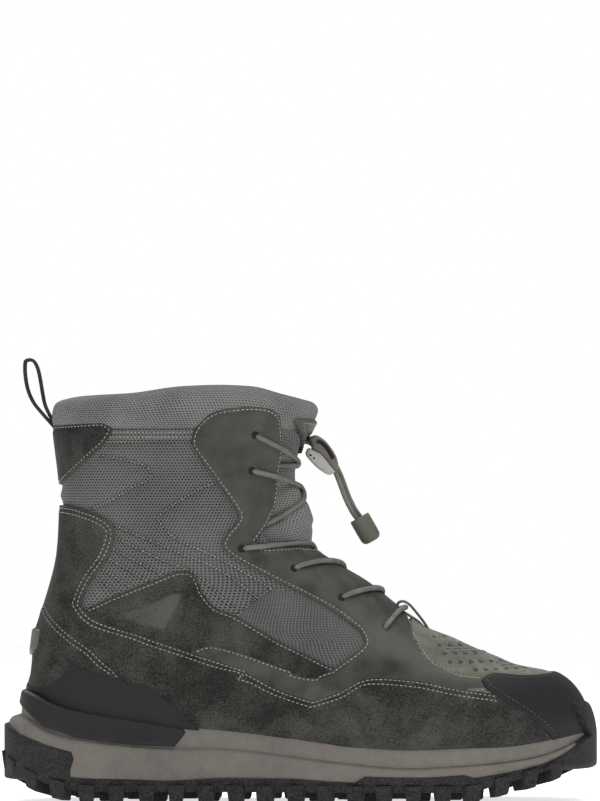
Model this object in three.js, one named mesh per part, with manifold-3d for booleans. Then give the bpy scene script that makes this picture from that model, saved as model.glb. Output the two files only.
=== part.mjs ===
// A mid-height winter sneaker boot for the right foot: lugged rubber outsole, two-step foam midsole,
// fabric bootie with leather and rubber overlays, padded cuff, bungee lacing with a cord lock, and a pull loop.
// Millimetres. x runs from the heel to the toe, y from the outer side (minus) to the inner side (plus), z up.
import * as THREE from "three";
import { mergeVertices } from "three/addons/utils/BufferGeometryUtils.js";
import Module from "manifold-3d";

const wasm = await Module();
wasm.setup();
const { Manifold, Mesh } = wasm;

// Driving sizes
const LENGTH = 303; // heel lug to toe bumper
const HEIGHT = 210; // floor to the highest point of the collar
const BALL_WIDTH = 106; // outsole across the ball of the foot
const WALL = 3; // fabric, foam and lining of the upper
const CLEARANCE = 0.3; // between neighbouring pieces
const PROUD = 1.8; // how far lugs and bumper stand out of the sole's side
const LUG_DEPTH = 6; // from the tread to the rubber sheet between the lugs
const LUG_RISE = 9.5; // from the tread to the top of a lug on the side wall
const LUG_PITCH = 15; // along the sole's edge
const INSOLE_THICKNESS = 4;
const WRAP_THICKNESS = 3; // rubber that climbs the midsole at heel, ball and toe
const BAND_THICKNESS = 2.8; // heel stabiliser
const TONGUE_THICKNESS = 4;
const LAYERS = { accent: 1.2, vamp: 1.3, quarter: 1.6, tab: 1.6, foxing: 2, counter: 2.4, toe: 2.6, guard: 2.8 };
const BADGE_THICKNESS = 1;
const CUFF_THICKNESS = 7; // padded ring, at its thickest
const LACE = 2.6; // diameter of the elastic cord
const LOOP_WIDTH = 13; // pull loop, across
const LOCK_WIDTH = 15;
const END_LENGTH = 14; // cord end
const END_WIDTH = 10.6;

// Mesh steps
const AROUND = 24;
const SOLE_AROUND = 28;
const SLACK = 0.1; // faces flatter than this, which cuts leave, are joined

// Columns of numbers with names, read smoothly at any value of the first column.
function table(columns, rows) {
  const keys = rows.map((row) => row[0]);
  const last = rows.length - 1;
  return (name, at) => {
    const column = columns.indexOf(name);
    const value = (n) => rows[n][column];
    const slope = (n) => (value(n + 1) - value(n)) / (keys[n + 1] - keys[n]);
    const tangent = (n) => {
      if (n === 0) return slope(0);
      if (n === last) return slope(last - 1);
      const before = slope(n - 1);
      const after = slope(n);
      return before * after <= 0 ? 0 : (2 * before * after) / (before + after);
    };
    if (at <= keys[0]) return value(0);
    if (at >= keys[last]) return value(last);
    const n = keys.findIndex((key, k) => k < last && at < keys[k + 1]);
    const step = keys[n + 1] - keys[n];
    const t = (at - keys[n]) / step;
    const ease = t * t * (3 - 2 * t);
    return (
      value(n) * (1 - ease) +
      value(n + 1) * ease +
      step * t * (1 - t) * (tangent(n) * (1 - t) - tangent(n + 1) * t)
    );
  };
}

// Plan of the sole and of the last: along is a share of LENGTH, the rest are shares of BALL_WIDTH.
// centre is where the axis swings to, the others are half widths from it.
const PLAN = table(
  ["along", "centre", "soleOuter", "soleInner", "lastOuter", "lastInner"],
  [
    [0.0, 0.0, 0.377, 0.373, 0.316, 0.307],
    [0.165, 0.0, 0.387, 0.377, 0.321, 0.311],
    [0.297, 0.0, 0.387, 0.363, 0.33, 0.311],
    [0.429, 0.0, 0.415, 0.358, 0.368, 0.316],
    [0.528, 0.005, 0.458, 0.373, 0.41, 0.33],
    [0.627, 0.014, 0.505, 0.41, 0.458, 0.363],
    [0.71, 0.024, 0.528, 0.453, 0.481, 0.401],
    [0.776, 0.033, 0.524, 0.462, 0.476, 0.415],
    [0.842, 0.042, 0.505, 0.448, 0.462, 0.404],
    [0.908, 0.057, 0.491, 0.415, 0.443, 0.373],
    [1.0, 0.066, 0.481, 0.396, 0.434, 0.358],
  ],
);
const SOLE_HEEL_ROUND = 0.139; // shares of LENGTH over which the ends of the sole close
const SOLE_TOE_ROUND = 0.182;
const END_POWER = 2.35; // squareness of heel and toe, 2 is an ellipse
const LEAN_REACH = 0.23; // share of LENGTH over which the sole's heel end leans forward

// Heights along the sole, shares of HEIGHT: where rubber meets foam, the groove in the foam's side,
// the foam's upper rim and the foot bed inside it.
const SOLE_SIDE = table(
  ["along", "joint", "groove", "rim", "bed"],
  [
    [0.0, 0.129, 0.214, 0.262, 0.205],
    [0.04, 0.09, 0.198, 0.252, 0.2],
    [0.073, 0.074, 0.176, 0.231, 0.195],
    [0.119, 0.063, 0.16, 0.214, 0.188],
    [0.188, 0.057, 0.146, 0.199, 0.174],
    [0.274, 0.055, 0.135, 0.185, 0.156],
    [0.383, 0.062, 0.13, 0.176, 0.137],
    [0.479, 0.061, 0.114, 0.16, 0.12],
    [0.584, 0.052, 0.095, 0.138, 0.104],
    [0.68, 0.051, 0.085, 0.13, 0.095],
    [0.756, 0.057, 0.09, 0.133, 0.097],
    [0.838, 0.074, 0.099, 0.139, 0.107],
    [0.904, 0.095, 0.114, 0.149, 0.119],
    [0.957, 0.126, 0.14, 0.167, 0.138],
    [1.0, 0.157, 0.167, 0.183, 0.157],
  ],
);

// Height of the tread above the floor, share of HEIGHT: bevelled heel, flat middle, sprung toe.
const TREAD = table(
  ["along", "clear"],
  [
    [0.0, 0.081],
    [0.026, 0.057],
    [0.056, 0.031],
    [0.099, 0.011],
    [0.145, 0.0],
    [0.779, 0.0],
    [0.835, 0.022],
    [0.881, 0.037],
    [0.927, 0.058],
    [0.97, 0.092],
    [1.0, 0.118],
  ],
);

// The upper at each height (share of HEIGHT): where its back and front lie, and over what length
// they round off, shares of LENGTH; how much of the last's plan is left and how full it is; and
// the shaft's half width, share of BALL_WIDTH.
const PROFILE = table(
  ["height", "back", "front", "plan", "full", "shaft", "heelRound", "toeRound"],
  [
    [0.095, 0.056, 0.977, 1.0, 0.97, 0.349, 0.125, 0.172],
    [0.19, 0.051, 0.98, 1.0, 1.0, 0.349, 0.125, 0.172],
    [0.238, 0.05, 0.97, 1.0, 0.98, 0.349, 0.125, 0.176],
    [0.262, 0.05, 0.96, 1.0, 0.97, 0.349, 0.125, 0.178],
    [0.286, 0.053, 0.944, 1.0, 0.95, 0.349, 0.126, 0.185],
    [0.307, 0.057, 0.914, 1.0, 0.925, 0.349, 0.126, 0.198],
    [0.321, 0.058, 0.865, 0.98, 0.905, 0.349, 0.127, 0.205],
    [0.343, 0.0595, 0.828, 0.95, 0.885, 0.349, 0.128, 0.215],
    [0.364, 0.06, 0.791, 0.92, 0.87, 0.349, 0.128, 0.225],
    [0.389, 0.062, 0.754, 0.86, 0.85, 0.349, 0.129, 0.23],
    [0.41, 0.064, 0.716, 0.8, 0.835, 0.347, 0.13, 0.23],
    [0.433, 0.069, 0.69, 0.73, 0.82, 0.346, 0.13, 0.225],
    [0.476, 0.0775, 0.653, 0.6, 0.8, 0.345, 0.132, 0.215],
    [0.524, 0.0875, 0.611, 0.42, 0.785, 0.345, 0.138, 0.2],
    [0.571, 0.0957, 0.556, 0.25, 0.78, 0.347, 0.145, 0.19],
    [0.6, 0.099, 0.528, 0.15, 0.78, 0.349, 0.15, 0.185],
    [0.643, 0.1015, 0.507, 0.06, 0.78, 0.352, 0.158, 0.18],
    [0.714, 0.103, 0.492, 0.0, 0.78, 0.36, 0.17, 0.178],
    [0.786, 0.1, 0.487, 0.0, 0.78, 0.37, 0.18, 0.18],
    [0.857, 0.094, 0.495, 0.0, 0.78, 0.385, 0.19, 0.19],
    [0.905, 0.0908, 0.51, 0.0, 0.78, 0.396, 0.195, 0.195],
    [0.952, 0.094, 0.526, 0.0, 0.78, 0.405, 0.2, 0.2],
    [1.0, 0.099, 0.535, 0.0, 0.78, 0.405, 0.2, 0.2],
  ],
);

// Share of the wall's height at which the upper's mesh has a row, closer where the vamp slopes.
const UPPER_ROWS = [0, 0.09, 0.18, 0.23, 0.28, 0.335, 0.4, 0.47, 0.54, 0.62, 0.73, 0.86, 1];
const LINING_ROWS = [0, 0.09, 0.18, 0.28, 0.4, 0.57, 0.85, 1];
const WELL_ROWS = [0, 0.3, 0.65, 1];

// Collar line of the cuff, height as a share of HEIGHT along a share of LENGTH.
const COLLAR = table(
  ["along", "top"],
  [
    [0.08, 0.965],
    [0.13, 0.976],
    [0.21, 0.981],
    [0.3, 0.997],
    [0.36, 1.0],
    [0.41, 0.997],
    [0.47, 0.978],
    [0.54, 0.955],
  ],
);
const SEAM = 0.9; // height of the seam under the cuff, share of HEIGHT

const turn = 2 * Math.PI;
const mix = (a, b, t) => a + (b - a) * t;
const smooth = (t) => {
  const s = Math.min(1, Math.max(0, t));
  return s * s * (3 - 2 * s);
};

// Width left at a distance from an end that rounds off over a length.
function endRound(distance, length) {
  const t = Math.min(1, Math.max(0, distance / length));
  return (1 - (1 - t) ** END_POWER) ** (1 / END_POWER);
}

// Point of the sole's outline in plan. angle is 0 at the heel, half a turn at the toe, outer side first.
function soleEdge(angle) {
  const run = LENGTH - 2 * PROUD;
  const x = PROUD + (run * (1 - Math.cos(angle))) / 2;
  const outer = Math.sin(angle) >= 0;
  const half = BALL_WIDTH * PLAN(outer ? "soleOuter" : "soleInner", x / LENGTH);
  const ends =
    endRound(x - PROUD, LENGTH * SOLE_HEEL_ROUND) *
    endRound(LENGTH - PROUD - x, LENGTH * SOLE_TOE_ROUND);
  const centre = BALL_WIDTH * PLAN("centre", x / LENGTH);
  return new THREE.Vector2(x, centre + (outer ? -1 : 1) * half * ends);
}

// Outward direction of the sole's outline.
function soleNormal(angle) {
  const step = 0.004;
  const along = soleEdge(angle + step).sub(soleEdge(angle - step));
  return new THREE.Vector2(along.y, -along.x).normalize();
}

// Sole outline moved in by inset, with its heel end leaning forward by lean.
function soleLoop(angle, inset, lean = 0) {
  const point = soleEdge(angle).addScaledVector(soleNormal(angle), -inset);
  const back = Math.max(0, 1 - point.x / (LENGTH * LEAN_REACH));
  point.x += lean * back * back;
  return point;
}

// Point of the upper's outer face at an angle round the boot and a height.
function formPoint(angle, z) {
  const level = z / HEIGHT;
  const back = LENGTH * PROFILE("back", level);
  const front = LENGTH * PROFILE("front", level);
  const x = back + ((front - back) * (1 - Math.cos(angle))) / 2;
  const outer = Math.sin(angle) >= 0;
  const plan = PROFILE("plan", level);
  const last = PROFILE("full", level) * PLAN(outer ? "lastOuter" : "lastInner", x / LENGTH);
  const half = BALL_WIDTH * mix(PROFILE("shaft", level), last, plan);
  const ends =
    endRound(x - back, LENGTH * PROFILE("heelRound", level)) *
    endRound(front - x, LENGTH * PROFILE("toeRound", level));
  const centre = BALL_WIDTH * PLAN("centre", x / LENGTH);
  return new THREE.Vector3(x, centre + (outer ? -1 : 1) * half * ends, z);
}

// The same point moved out along the face's own direction.
function offsetPoint(angle, z, out) {
  const step = 0.01;
  const rise = 0.8;
  const around = formPoint(angle + step, z).sub(formPoint(angle - step, z));
  const up = formPoint(angle, z + rise).sub(formPoint(angle, z - rise));
  const normal = around.cross(up).normalize();
  return formPoint(angle, z).addScaledVector(normal, out);
}

// Height on the wall at a share of its rise, from a line on the foot bed to the top.
const bedUnder = (angle) => {
  const x = (LENGTH * (1 - Math.cos(angle))) / 2;
  return HEIGHT * SOLE_SIDE("bed", x / LENGTH);
};
const wallHeight = (angle, share, above, top) => mix(bedUnder(angle) + above, top, share);

// A solid from vertices and triangles.
function solidOf(vertices, triangles) {
  const solid = new Manifold(
    new Mesh({
      numProp: 3,
      vertProperties: new Float32Array(vertices.flatMap((v) => [v.x, v.y, v.z])),
      triVerts: new Uint32Array(triangles.flat()),
    }),
  );
  if (solid.volume() > 0) return solid;
  return solidOf(vertices, triangles.map(([a, b, c]) => [a, c, b]));
}

// A solid between rows of points. Each row runs round the solid, and the rows run from its first
// cap to its last. The caps join the row's points in pairs across the middle.
function loft(rows) {
  const count = rows[0].length;
  const vertices = rows.flat();
  const at = (row, n) => row * count + ((n + count) % count);
  const triangles = [];
  for (let row = 0; row + 1 < rows.length; row += 1)
    for (let n = 0; n < count; n += 1) {
      triangles.push([at(row, n), at(row, n + 1), at(row + 1, n + 1)]);
      triangles.push([at(row, n), at(row + 1, n + 1), at(row + 1, n)]);
    }
  const cap = (row, turned) => {
    for (let n = 0; n < count / 2; n += 1) {
      const quad = [at(row, n), at(row, n + 1), at(row, -n - 1), at(row, -n)];
      const halves = [
        [quad[0], quad[3], quad[2]],
        [quad[0], quad[2], quad[1]],
      ];
      for (const [a, b, c] of halves)
        if (a !== b && b !== c && a !== c) triangles.push(turned ? [a, c, b] : [a, b, c]);
    }
  };
  cap(0, false);
  cap(rows.length - 1, true);
  return solidOf(vertices, triangles);
}

// A ring: rows of points round the solid whose last row joins the first. From the row called back,
// the rows run down again, and each quad is split along its other diagonal, so that nested rings match.
function ringLoft(rows, back = rows.length) {
  const count = rows[0].length;
  const at = (row, n) => (row % rows.length) * count + (n % count);
  const triangles = [];
  for (let row = 0; row < rows.length; row += 1)
    for (let n = 0; n < count; n += 1) {
      const quad = [at(row, n), at(row, n + 1), at(row + 1, n + 1), at(row + 1, n)];
      if (row < back) triangles.push([quad[0], quad[1], quad[2]], [quad[0], quad[2], quad[3]]);
      else triangles.push([quad[0], quad[1], quad[3]], [quad[1], quad[2], quad[3]]);
    }
  return solidOf(rows.flat(), triangles);
}

const steps = (count, make) => Array.from({ length: count }, (_, n) => make(n));
const angles = (count) => steps(count, (n) => (turn * n) / count);
const to3 = (point, z) => new THREE.Vector3(point.x, point.y, z);

// The wall between two offsets of the upper's face, from above the foot bed to the seam.
function wall(inside, outside, above, top = SEAM * HEIGHT, rows = UPPER_ROWS, innerRows = rows) {
  const row = (share, out) =>
    angles(AROUND).map((a) => offsetPoint(a, wallHeight(a, share, above, top), out));
  const outer = rows.map((share) => row(share, outside));
  const inner = innerRows.map((share) => row(share, inside)).reverse();
  return ringLoft([...outer, ...inner], outer.length);
}

// The whole body of the upper's form, grown by out, from the foot bed upwards.
function form(out, above, top, rows) {
  return loft(
    rows.map((share) =>
      angles(AROUND).map((a) => offsetPoint(a, wallHeight(a, share, above, top), out)),
    ),
  );
}

// Outlines in the side view are lists of runs. A run is drawn smoothly through its points, and
// runs meet in corners. Points are shares of LENGTH and of HEIGHT.
function sideShape(runs) {
  const path = new THREE.Path();
  const first = runs[0][0];
  const size = ([along, up]) => new THREE.Vector2(along * LENGTH, up * HEIGHT);
  path.moveTo(...size(first));
  runs.forEach((run, n) => {
    const points = run.slice(n === 0 ? 1 : 0).map(size);
    if (points.length === 1) path.lineTo(...points[0]);
    else path.splineThru(points);
  });
  const points = path.getPoints(1).filter((p, n, all) => n === 0 || p.distanceTo(all[n - 1]) > 0.2);
  if (points[0].distanceTo(points.at(-1)) < 0.2) points.pop();
  return THREE.ShapeUtils.isClockWise(points) ? points.reverse() : points;
}

// An outline in the side view, moved outwards.
function grow(points, by) {
  const count = points.length;
  return points.map((p, n) => {
    const before = points[(n + count - 1) % count];
    const after = points[(n + 1) % count];
    const a = p.clone().sub(before).normalize();
    const b = after.clone().sub(p).normalize();
    const normal = new THREE.Vector2(a.y + b.y, -a.x - b.x);
    const reach = Math.max(0.5, normal.length() / 2);
    return p.clone().addScaledVector(normal.normalize(), by / reach);
  });
}

// A solid of a three.js geometry, with its shared vertices merged.
function fromGeometry(geometry) {
  const bare = geometry.clone();
  bare.deleteAttribute("normal");
  bare.deleteAttribute("uv");
  const merged = mergeVertices(bare, 1e-4);
  const place = merged.getAttribute("position");
  const vertices = steps(place.count, (n) => new THREE.Vector3().fromBufferAttribute(place, n));
  const index = merged.index.array;
  return solidOf(vertices, steps(index.length / 3, (n) => [...index.slice(3 * n, 3 * n + 3)]));
}

// A bar across the boot whose section is an outline in the side view.
function across(points, from, to) {
  const bar = new THREE.ExtrudeGeometry(new THREE.Shape(points), {
    depth: to - from,
    bevelEnabled: false,
  });
  bar.rotateX(Math.PI / 2).translate(0, to, 0);
  return fromGeometry(bar);
}
const SIDES = { outer: [-BALL_WIDTH, 0], inner: [0, BALL_WIDTH], both: [-BALL_WIDTH, BALL_WIDTH] };

// A ring that follows the sole's edge, for what climbs the midsole's side. Its section is a list
// of heights, shares of HEIGHT, with how far each lies further in.
function edgeRing(inset, thickness, section) {
  const row = (depth) => ([level, more]) =>
    angles(SOLE_AROUND).map((a) => to3(soleLoop(a, depth + more), level * HEIGHT));
  return ringLoft([...section.map(row(inset)), ...section.map(row(inset + thickness)).reverse()]);
}
const UPRIGHT = [
  [0, 0],
  [0.3, 0],
];
const BUMPER_SECTION = [
  [0, 0],
  [0.18, 0],
  [0.213, 1.3],
  [0.3, 7.5],
];

const along = (column, x, tableOf = SOLE_SIDE) => HEIGHT * tableOf(column, x / LENGTH);
const tread = (x) => along("clear", x, TREAD);
const joint = (x) => along("joint", x);

// Side outlines of the rubber that climbs the midsole.
const HEEL_WRAP = [
  [[-0.02, 0.06], [-0.02, 0.2], [0.01, 0.187], [0.032, 0.165], [0.077, 0.141], [0.12, 0.127]],
  [[0.128, 0.121], [0.124, 0.1], [0.114, 0.077]],
  [[0.12, 0.055]],
];
const BALL_WRAP = [
  [[0.575, 0.045], [0.587, 0.051], [0.607, 0.07]],
  [[0.67, 0.068], [0.722, 0.069], [0.772, 0.074]],
  [[0.79, 0.063], [0.8, 0.045]],
];
const TOE_BUMPER = [
  [[0.9, 0.08], [0.985, 0.165]],
  [[0.974, 0.18], [0.968, 0.215], [0.966, 0.243]],
  [[0.98, 0.24], [1.02, 0.22]],
  [[1.02, 0.08]],
];

// Each with its section and how far it stands out of the sole's edge.
const WRAPS = [
  [HEEL_WRAP, UPRIGHT, 0],
  [BALL_WRAP, UPRIGHT, 0.3],
  [TOE_BUMPER, BUMPER_SECTION, PROUD],
];

// A tread block on the sole's edge: its foot follows the tread and its shoulder climbs the side.
function edgeLug(angle, widths, reach) {
  const edge = soleEdge(angle);
  const normal = soleNormal(angle);
  const along2 = new THREE.Vector2(-normal.y, normal.x);
  const corner = (level, side, out) => {
    const p = edge
      .clone()
      .addScaledVector(along2, side * widths[level])
      .addScaledVector(normal, out);
    return to3(p, level === 0 ? tread(p.x) : Math.min(tread(p.x) + LUG_RISE, joint(p.x) - 1));
  };
  const row = (level, out, back) => [
    corner(level, -1, out),
    corner(level, 1, out),
    corner(level, 1, back),
    corner(level, -1, back),
  ];
  return loft([row(0, PROUD * 0.3, -reach), row(1, PROUD, -reach - 1)]);
}

// A block of the inner tread.
function innerLug(x, y, length, width) {
  const corner = (dx, dy, rise) => {
    const p = new THREE.Vector2(x + dx, y + dy);
    return to3(p, tread(p.x) + rise);
  };
  const row = (spread, rise) => [
    corner(-length * spread, -width * spread, rise),
    corner(length * spread, -width * spread, rise),
    corner(length * spread, width * spread, rise),
    corner(-length * spread, width * spread, rise),
  ];
  return loft([row(0.42, 0), row(0.5, LUG_DEPTH + 1)]);
}

// Angles of the edge lugs, one pitch apart along the sole's outline, from the heel.
function lugAngles() {
  const fine = 1440;
  const found = [];
  let walked = LUG_PITCH / 2;
  for (let n = 0; n < fine; n += 1) {
    const a = (turn * n) / fine;
    walked += soleEdge(a).distanceTo(soleEdge(a + turn / fine));
    if (walked >= LUG_PITCH) {
      walked -= LUG_PITCH;
      found.push(a);
    }
  }
  return found;
}

const LUG_WIDTHS = [0.207 * LUG_PITCH, 0.3 * LUG_PITCH]; // half widths at the tread and at the shoulder
const LUG_REACH = 14; // from the edge inwards
// Inner blocks along the sole: half the distance between a pair and their width are shares of
// BALL_WIDTH, their length a share of LUG_PITCH.
const INNER_LUGS = table(
  ["along", "spread", "length", "width"],
  [
    [0.09, 0.08, 0.6, 0.104],
    [0.3, 0.08, 0.6, 0.104],
    [0.55, 0.12, 0.6, 0.123],
    [0.72, 0.165, 0.667, 0.132],
    [0.88, 0.12, 0.6, 0.123],
  ],
);
const INNER_ROWS = 10;

function outsole() {
  const row = (z, inset) => angles(SOLE_AROUND).map((a) => {
    const p = soleLoop(a, inset);
    return to3(p, z(p.x));
  });
  const under = (x) => tread(x) + LUG_DEPTH;
  const upside = (x) => along("joint", x) - CLEARANCE;
  const sheet = loft([row(under, 1.2), row(upside, 0)]);
  const climb = ([outline, section, proud]) =>
    edgeRing(-proud, WRAP_THICKNESS + proud, section).intersect(
      across(sideShape(outline), ...SIDES.both),
    );
  const wraps = WRAPS.map(climb);
  const edge = lugAngles().map((a) => edgeLug(a, LUG_WIDTHS, LUG_REACH));
  const inner = steps(INNER_ROWS, (n) => {
    const share = mix(0.09, 0.88, n / (INNER_ROWS - 1));
    const x = share * LENGTH;
    const spread = BALL_WIDTH * INNER_LUGS("spread", share);
    const middle = BALL_WIDTH * PLAN("centre", share);
    const size = [LUG_PITCH * INNER_LUGS("length", share), BALL_WIDTH * INNER_LUGS("width", share)];
    const shift = n % 2 ? spread * 0.35 : -spread * 0.35;
    return [-1, 1].map((side) => innerLug(x, middle + side * spread + shift, ...size));
  }).flat();
  return Manifold.union([sheet, ...wraps, ...edge, ...inner]);
}

// Rows of the midsole's side: height between two lines, inset from the sole's edge, heel lean.
function midsoleRows() {
  const line = (low, high, share) => (x) => mix(along(low, x), along(high, x), share);
  return [
    [(x) => along("joint", x) + CLEARANCE / 2, 0.9, 0],
    [line("joint", "groove", 0.4), 0.1, 0.5],
    [line("joint", "groove", 0.9), 0.8, 2.5],
    [line("joint", "groove", 1), 2.5, 5.2],
    [line("groove", "rim", 0.5), 1.7, 5.6],
    [line("groove", "rim", 1), 3.3, 7.2],
  ];
}

const HEEL_BAND = [
  [[0.02, 0.263], [0.04, 0.252], [0.067, 0.232], [0.104, 0.217], [0.146, 0.208], [0.211, 0.196]],
  [[0.276, 0.185], [0.306, 0.179]],
  [[0.311, 0.175], [0.308, 0.161], [0.292, 0.137]],
  [[0.232, 0.14], [0.19, 0.146], [0.125, 0.158], [0.06, 0.183], [0.02, 0.22]],
  [[-0.02, 0.24]],
];
const BAND_FACE = 0.4; // how far the band's face lies inside the sole's edge
const BAND_LEAN = 6.6;

function bandSolid(extra, outline) {
  const lines = ["groove", "rim"];
  const row = (line, depth, more) =>
    angles(SOLE_AROUND).map((a) => {
      const p = soleLoop(a, depth, BAND_LEAN + (line === "rim" ? 1.4 : 0));
      return to3(p, along(line, p.x) + more);
    });
  const deep = BAND_FACE + BAND_THICKNESS + extra;
  const face = BAND_FACE - extra * 8;
  const ring = ringLoft([
    row(lines[0], face, -4),
    row(lines[1], face + 0.8, 4),
    row(lines[1], deep + 0.8, 4),
    row(lines[0], deep, -4),
  ]);
  return ring.intersect(across(outline, ...SIDES.both));
}

function midsole() {
  const rows = midsoleRows().map(([z, inset, lean]) =>
    angles(SOLE_AROUND).map((a) => {
      const p = soleLoop(a, inset, lean);
      return to3(p, z(p.x));
    }),
  );
  const notch = ([outline, section]) =>
    edgeRing(-2 * PROUD, WRAP_THICKNESS + 2 * PROUD + CLEARANCE, section).intersect(
      across(grow(sideShape(outline), CLEARANCE), ...SIDES.both),
    );
  const cuts = [
    form(CLEARANCE, 0, HEIGHT * 0.3, WELL_ROWS),
    ...WRAPS.map(notch),
    bandSolid(CLEARANCE, grow(sideShape(HEEL_BAND), CLEARANCE)),
  ];
  return cuts.reduce((body, cut) => body.subtract(cut), loft(rows));
}

function insole() {
  const out = -WALL - CLEARANCE * 3;
  const row = (rise, extra) =>
    angles(AROUND).map((a) => {
      const z = bedUnder(a) + rise;
      const p = offsetPoint(a, z, out - extra);
      return new THREE.Vector3(p.x, p.y, z);
    });
  return loft([row(CLEARANCE, 1), row(CLEARANCE + 1, 0), row(CLEARANCE + INSOLE_THICKNESS, 0)]);
}

// Front edge of the facings, a share of LENGTH at each height.
const FACING = table(
  ["height", "edge"],
  [
    [0.434, 0.682],
    [0.45, 0.668],
    [0.464, 0.645],
    [0.506, 0.607],
    [0.555, 0.56],
    [0.588, 0.52],
    [0.604, 0.49],
    [0.62, 0.462],
    [0.66, 0.45],
    [0.71, 0.455],
    [0.78, 0.461],
    [0.84, 0.466],
    [0.89, 0.467],
    [0.925, 0.462],
  ],
);
const THROAT_ROWS = [0.434, 0.45, 0.464, 0.506, 0.555, 0.588, 0.604, 0.62, 0.66, 0.71, 0.84, 0.925];
const THROAT = [
  THROAT_ROWS.map((level) => [FACING("edge", level), level]).reverse(),
  [[0.72, 0.5], [0.72, 0.7], [0.6, 0.925]],
];

// The wall between two offsets with the throat cut out, its edge moved into the throat by more.
function facings(inside, outside, more, innerRows = UPPER_ROWS) {
  const throat = across(grow(sideShape(THROAT), -more), ...SIDES.both);
  const body = wall(inside, outside, CLEARANCE, SEAM * HEIGHT, UPPER_ROWS, innerRows);
  return body.subtract(throat);
}

const upper = () => facings(-WALL, 0, 0, LINING_ROWS);

// Tongue at each height, share of HEIGHT: how far it stands out of the upper's form in the throat,
// a share of its thickness, and how far it reaches round the form to either side, as an angle.
const TONGUE = table(
  ["height", "bulge", "reach"],
  [
    [0.43, -1.1, 0.5],
    [0.452, -0.75, 0.55],
    [0.5, -0.5, 0.58],
    [0.55, -0.4, 0.62],
    [0.6, -0.2, 0.7],
    [0.64, 1.15, 0.8],
    [0.676, 1.9, 0.86],
    [0.705, 1.8, 0.88],
    [0.74, 1.15, 0.88],
    [0.79, 0.4, 0.88],
    [0.897, 0.35, 0.88],
  ],
);
const TONGUE_ROWS = [0.43, 0.47, 0.52, 0.57, 0.61, 0.64, 0.67, 0.7, 0.735, 0.785, 0.842, 0.872, 0.897];
const TONGUE_ACROSS = 8;

// Half the width of the throat at a height, the least within a little above and below it.
function throatHalf(level) {
  const half = (at) => {
    let [low, high] = [Math.PI / 2, Math.PI];
    for (let n = 0; n < 16; n += 1) {
      const angle = (low + high) / 2;
      if (formPoint(angle, at * HEIGHT).x < FACING("edge", at) * LENGTH) low = angle;
      else high = angle;
    }
    const edge = formPoint(low, at * HEIGHT);
    return Math.abs(edge.y - BALL_WIDTH * PLAN("centre", edge.x / LENGTH));
  };
  return Math.min(...[-0.016, -0.008, 0, 0.008, 0.016].map((shift) => half(level + shift)));
}

// Outward offset of the tongue's face: proud in the throat, tucked under the facings beside it.
function tongueOut(angle, level) {
  const point = formPoint(angle, level * HEIGHT);
  const middle = BALL_WIDTH * PLAN("centre", point.x / LENGTH);
  const half = throatHalf(level);
  const inThroat = smooth((half - 1 - Math.abs(point.y - middle)) / (half * 0.6));
  return mix(-WALL - 1, TONGUE_THICKNESS * TONGUE("bulge", level), inThroat);
}

function tongue() {
  const row = (level, depth) =>
    steps(TONGUE_ACROSS + 1, (n) => {
      const angle = Math.PI + (n / TONGUE_ACROSS - 0.5) * 2 * TONGUE("reach", level);
      return offsetPoint(angle, level * HEIGHT, tongueOut(angle, level) - depth);
    });
  const pad = loft(
    TONGUE_ROWS.map((level) => [...row(level, 0), ...row(level, TONGUE_THICKNESS).reverse()]),
  );
  return pad.subtract(facings(-WALL - CLEARANCE, 12, CLEARANCE, LINING_ROWS));
}

// Rubber and foam below the overlays, with the clearance they keep from it.
function soleBlock() {
  const [rimZ, rimInset, rimLean] = midsoleRows().at(-1);
  const row = (level, inset) =>
    angles(SOLE_AROUND).map((a) => {
      const out = soleLoop(a, inset, rimLean);
      return to3(out, level * (rimZ(out.x) + 2 * CLEARANCE));
    });
  return loft([row(0, -3), row(1, rimInset - 4)]);
}

// Side outlines of the overlays. Where two meet, the one that lies on top cuts the other.
const QUARTER = [
  [[0.316, 0.361], [0.351, 0.379], [0.408, 0.359], [0.472, 0.325], [0.501, 0.306], [0.528, 0.301]],
  [[0.558, 0.325], [0.585, 0.352], [0.607, 0.381], [0.598, 0.415]],
  [[0.553, 0.463], [0.501, 0.504], [0.45, 0.541], [0.4, 0.58], [0.376, 0.606], [0.371, 0.623], [0.38, 0.65]],
  [[0.398, 0.684], [0.392, 0.708], [0.363, 0.769], [0.338, 0.82], [0.321, 0.858], [0.323, 0.89]],
  [[0.338, 0.921], [0.363, 0.943], [0.415, 0.953], [0.45, 0.948], [0.466, 0.926]],
  [[0.469, 0.861], [0.462, 0.79], [0.459, 0.723], [0.447, 0.674], [0.427, 0.628]],
  [[0.437, 0.613], [0.494, 0.613]],
  [[0.53, 0.601], [0.565, 0.567], [0.612, 0.524], [0.65, 0.48], [0.672, 0.455]],
  [[0.684, 0.427], [0.699, 0.383], [0.721, 0.339], [0.756, 0.313], [0.82, 0.298]],
  [[0.82, 0.267], [0.615, 0.242], [0.501, 0.213], [0.316, 0.327]],
];
const FOXING = [
  [[-0.01, 0.718], [0.097, 0.718]],
  [[0.134, 0.708], [0.175, 0.684], [0.193, 0.652], [0.182, 0.593], [0.151, 0.526], [0.137, 0.478]],
  [[0.161, 0.442], [0.236, 0.405], [0.318, 0.364], [0.399, 0.325], [0.461, 0.278], [0.521, 0.249]],
  [[0.564, 0.269], [0.616, 0.301], [0.698, 0.295], [0.754, 0.279], [0.829, 0.262]],
  [[0.938, 0.145], [0.938, 0.05], [-0.01, 0.05]],
];
const COUNTER = [
  [[-0.01, 0.546], [0.07, 0.492], [0.092, 0.449], [0.117, 0.412], [0.151, 0.375], [0.176, 0.34], [0.209, 0.296]],
  [[0.232, 0.267], [0.232, 0.1], [-0.01, 0.1]],
];
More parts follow.
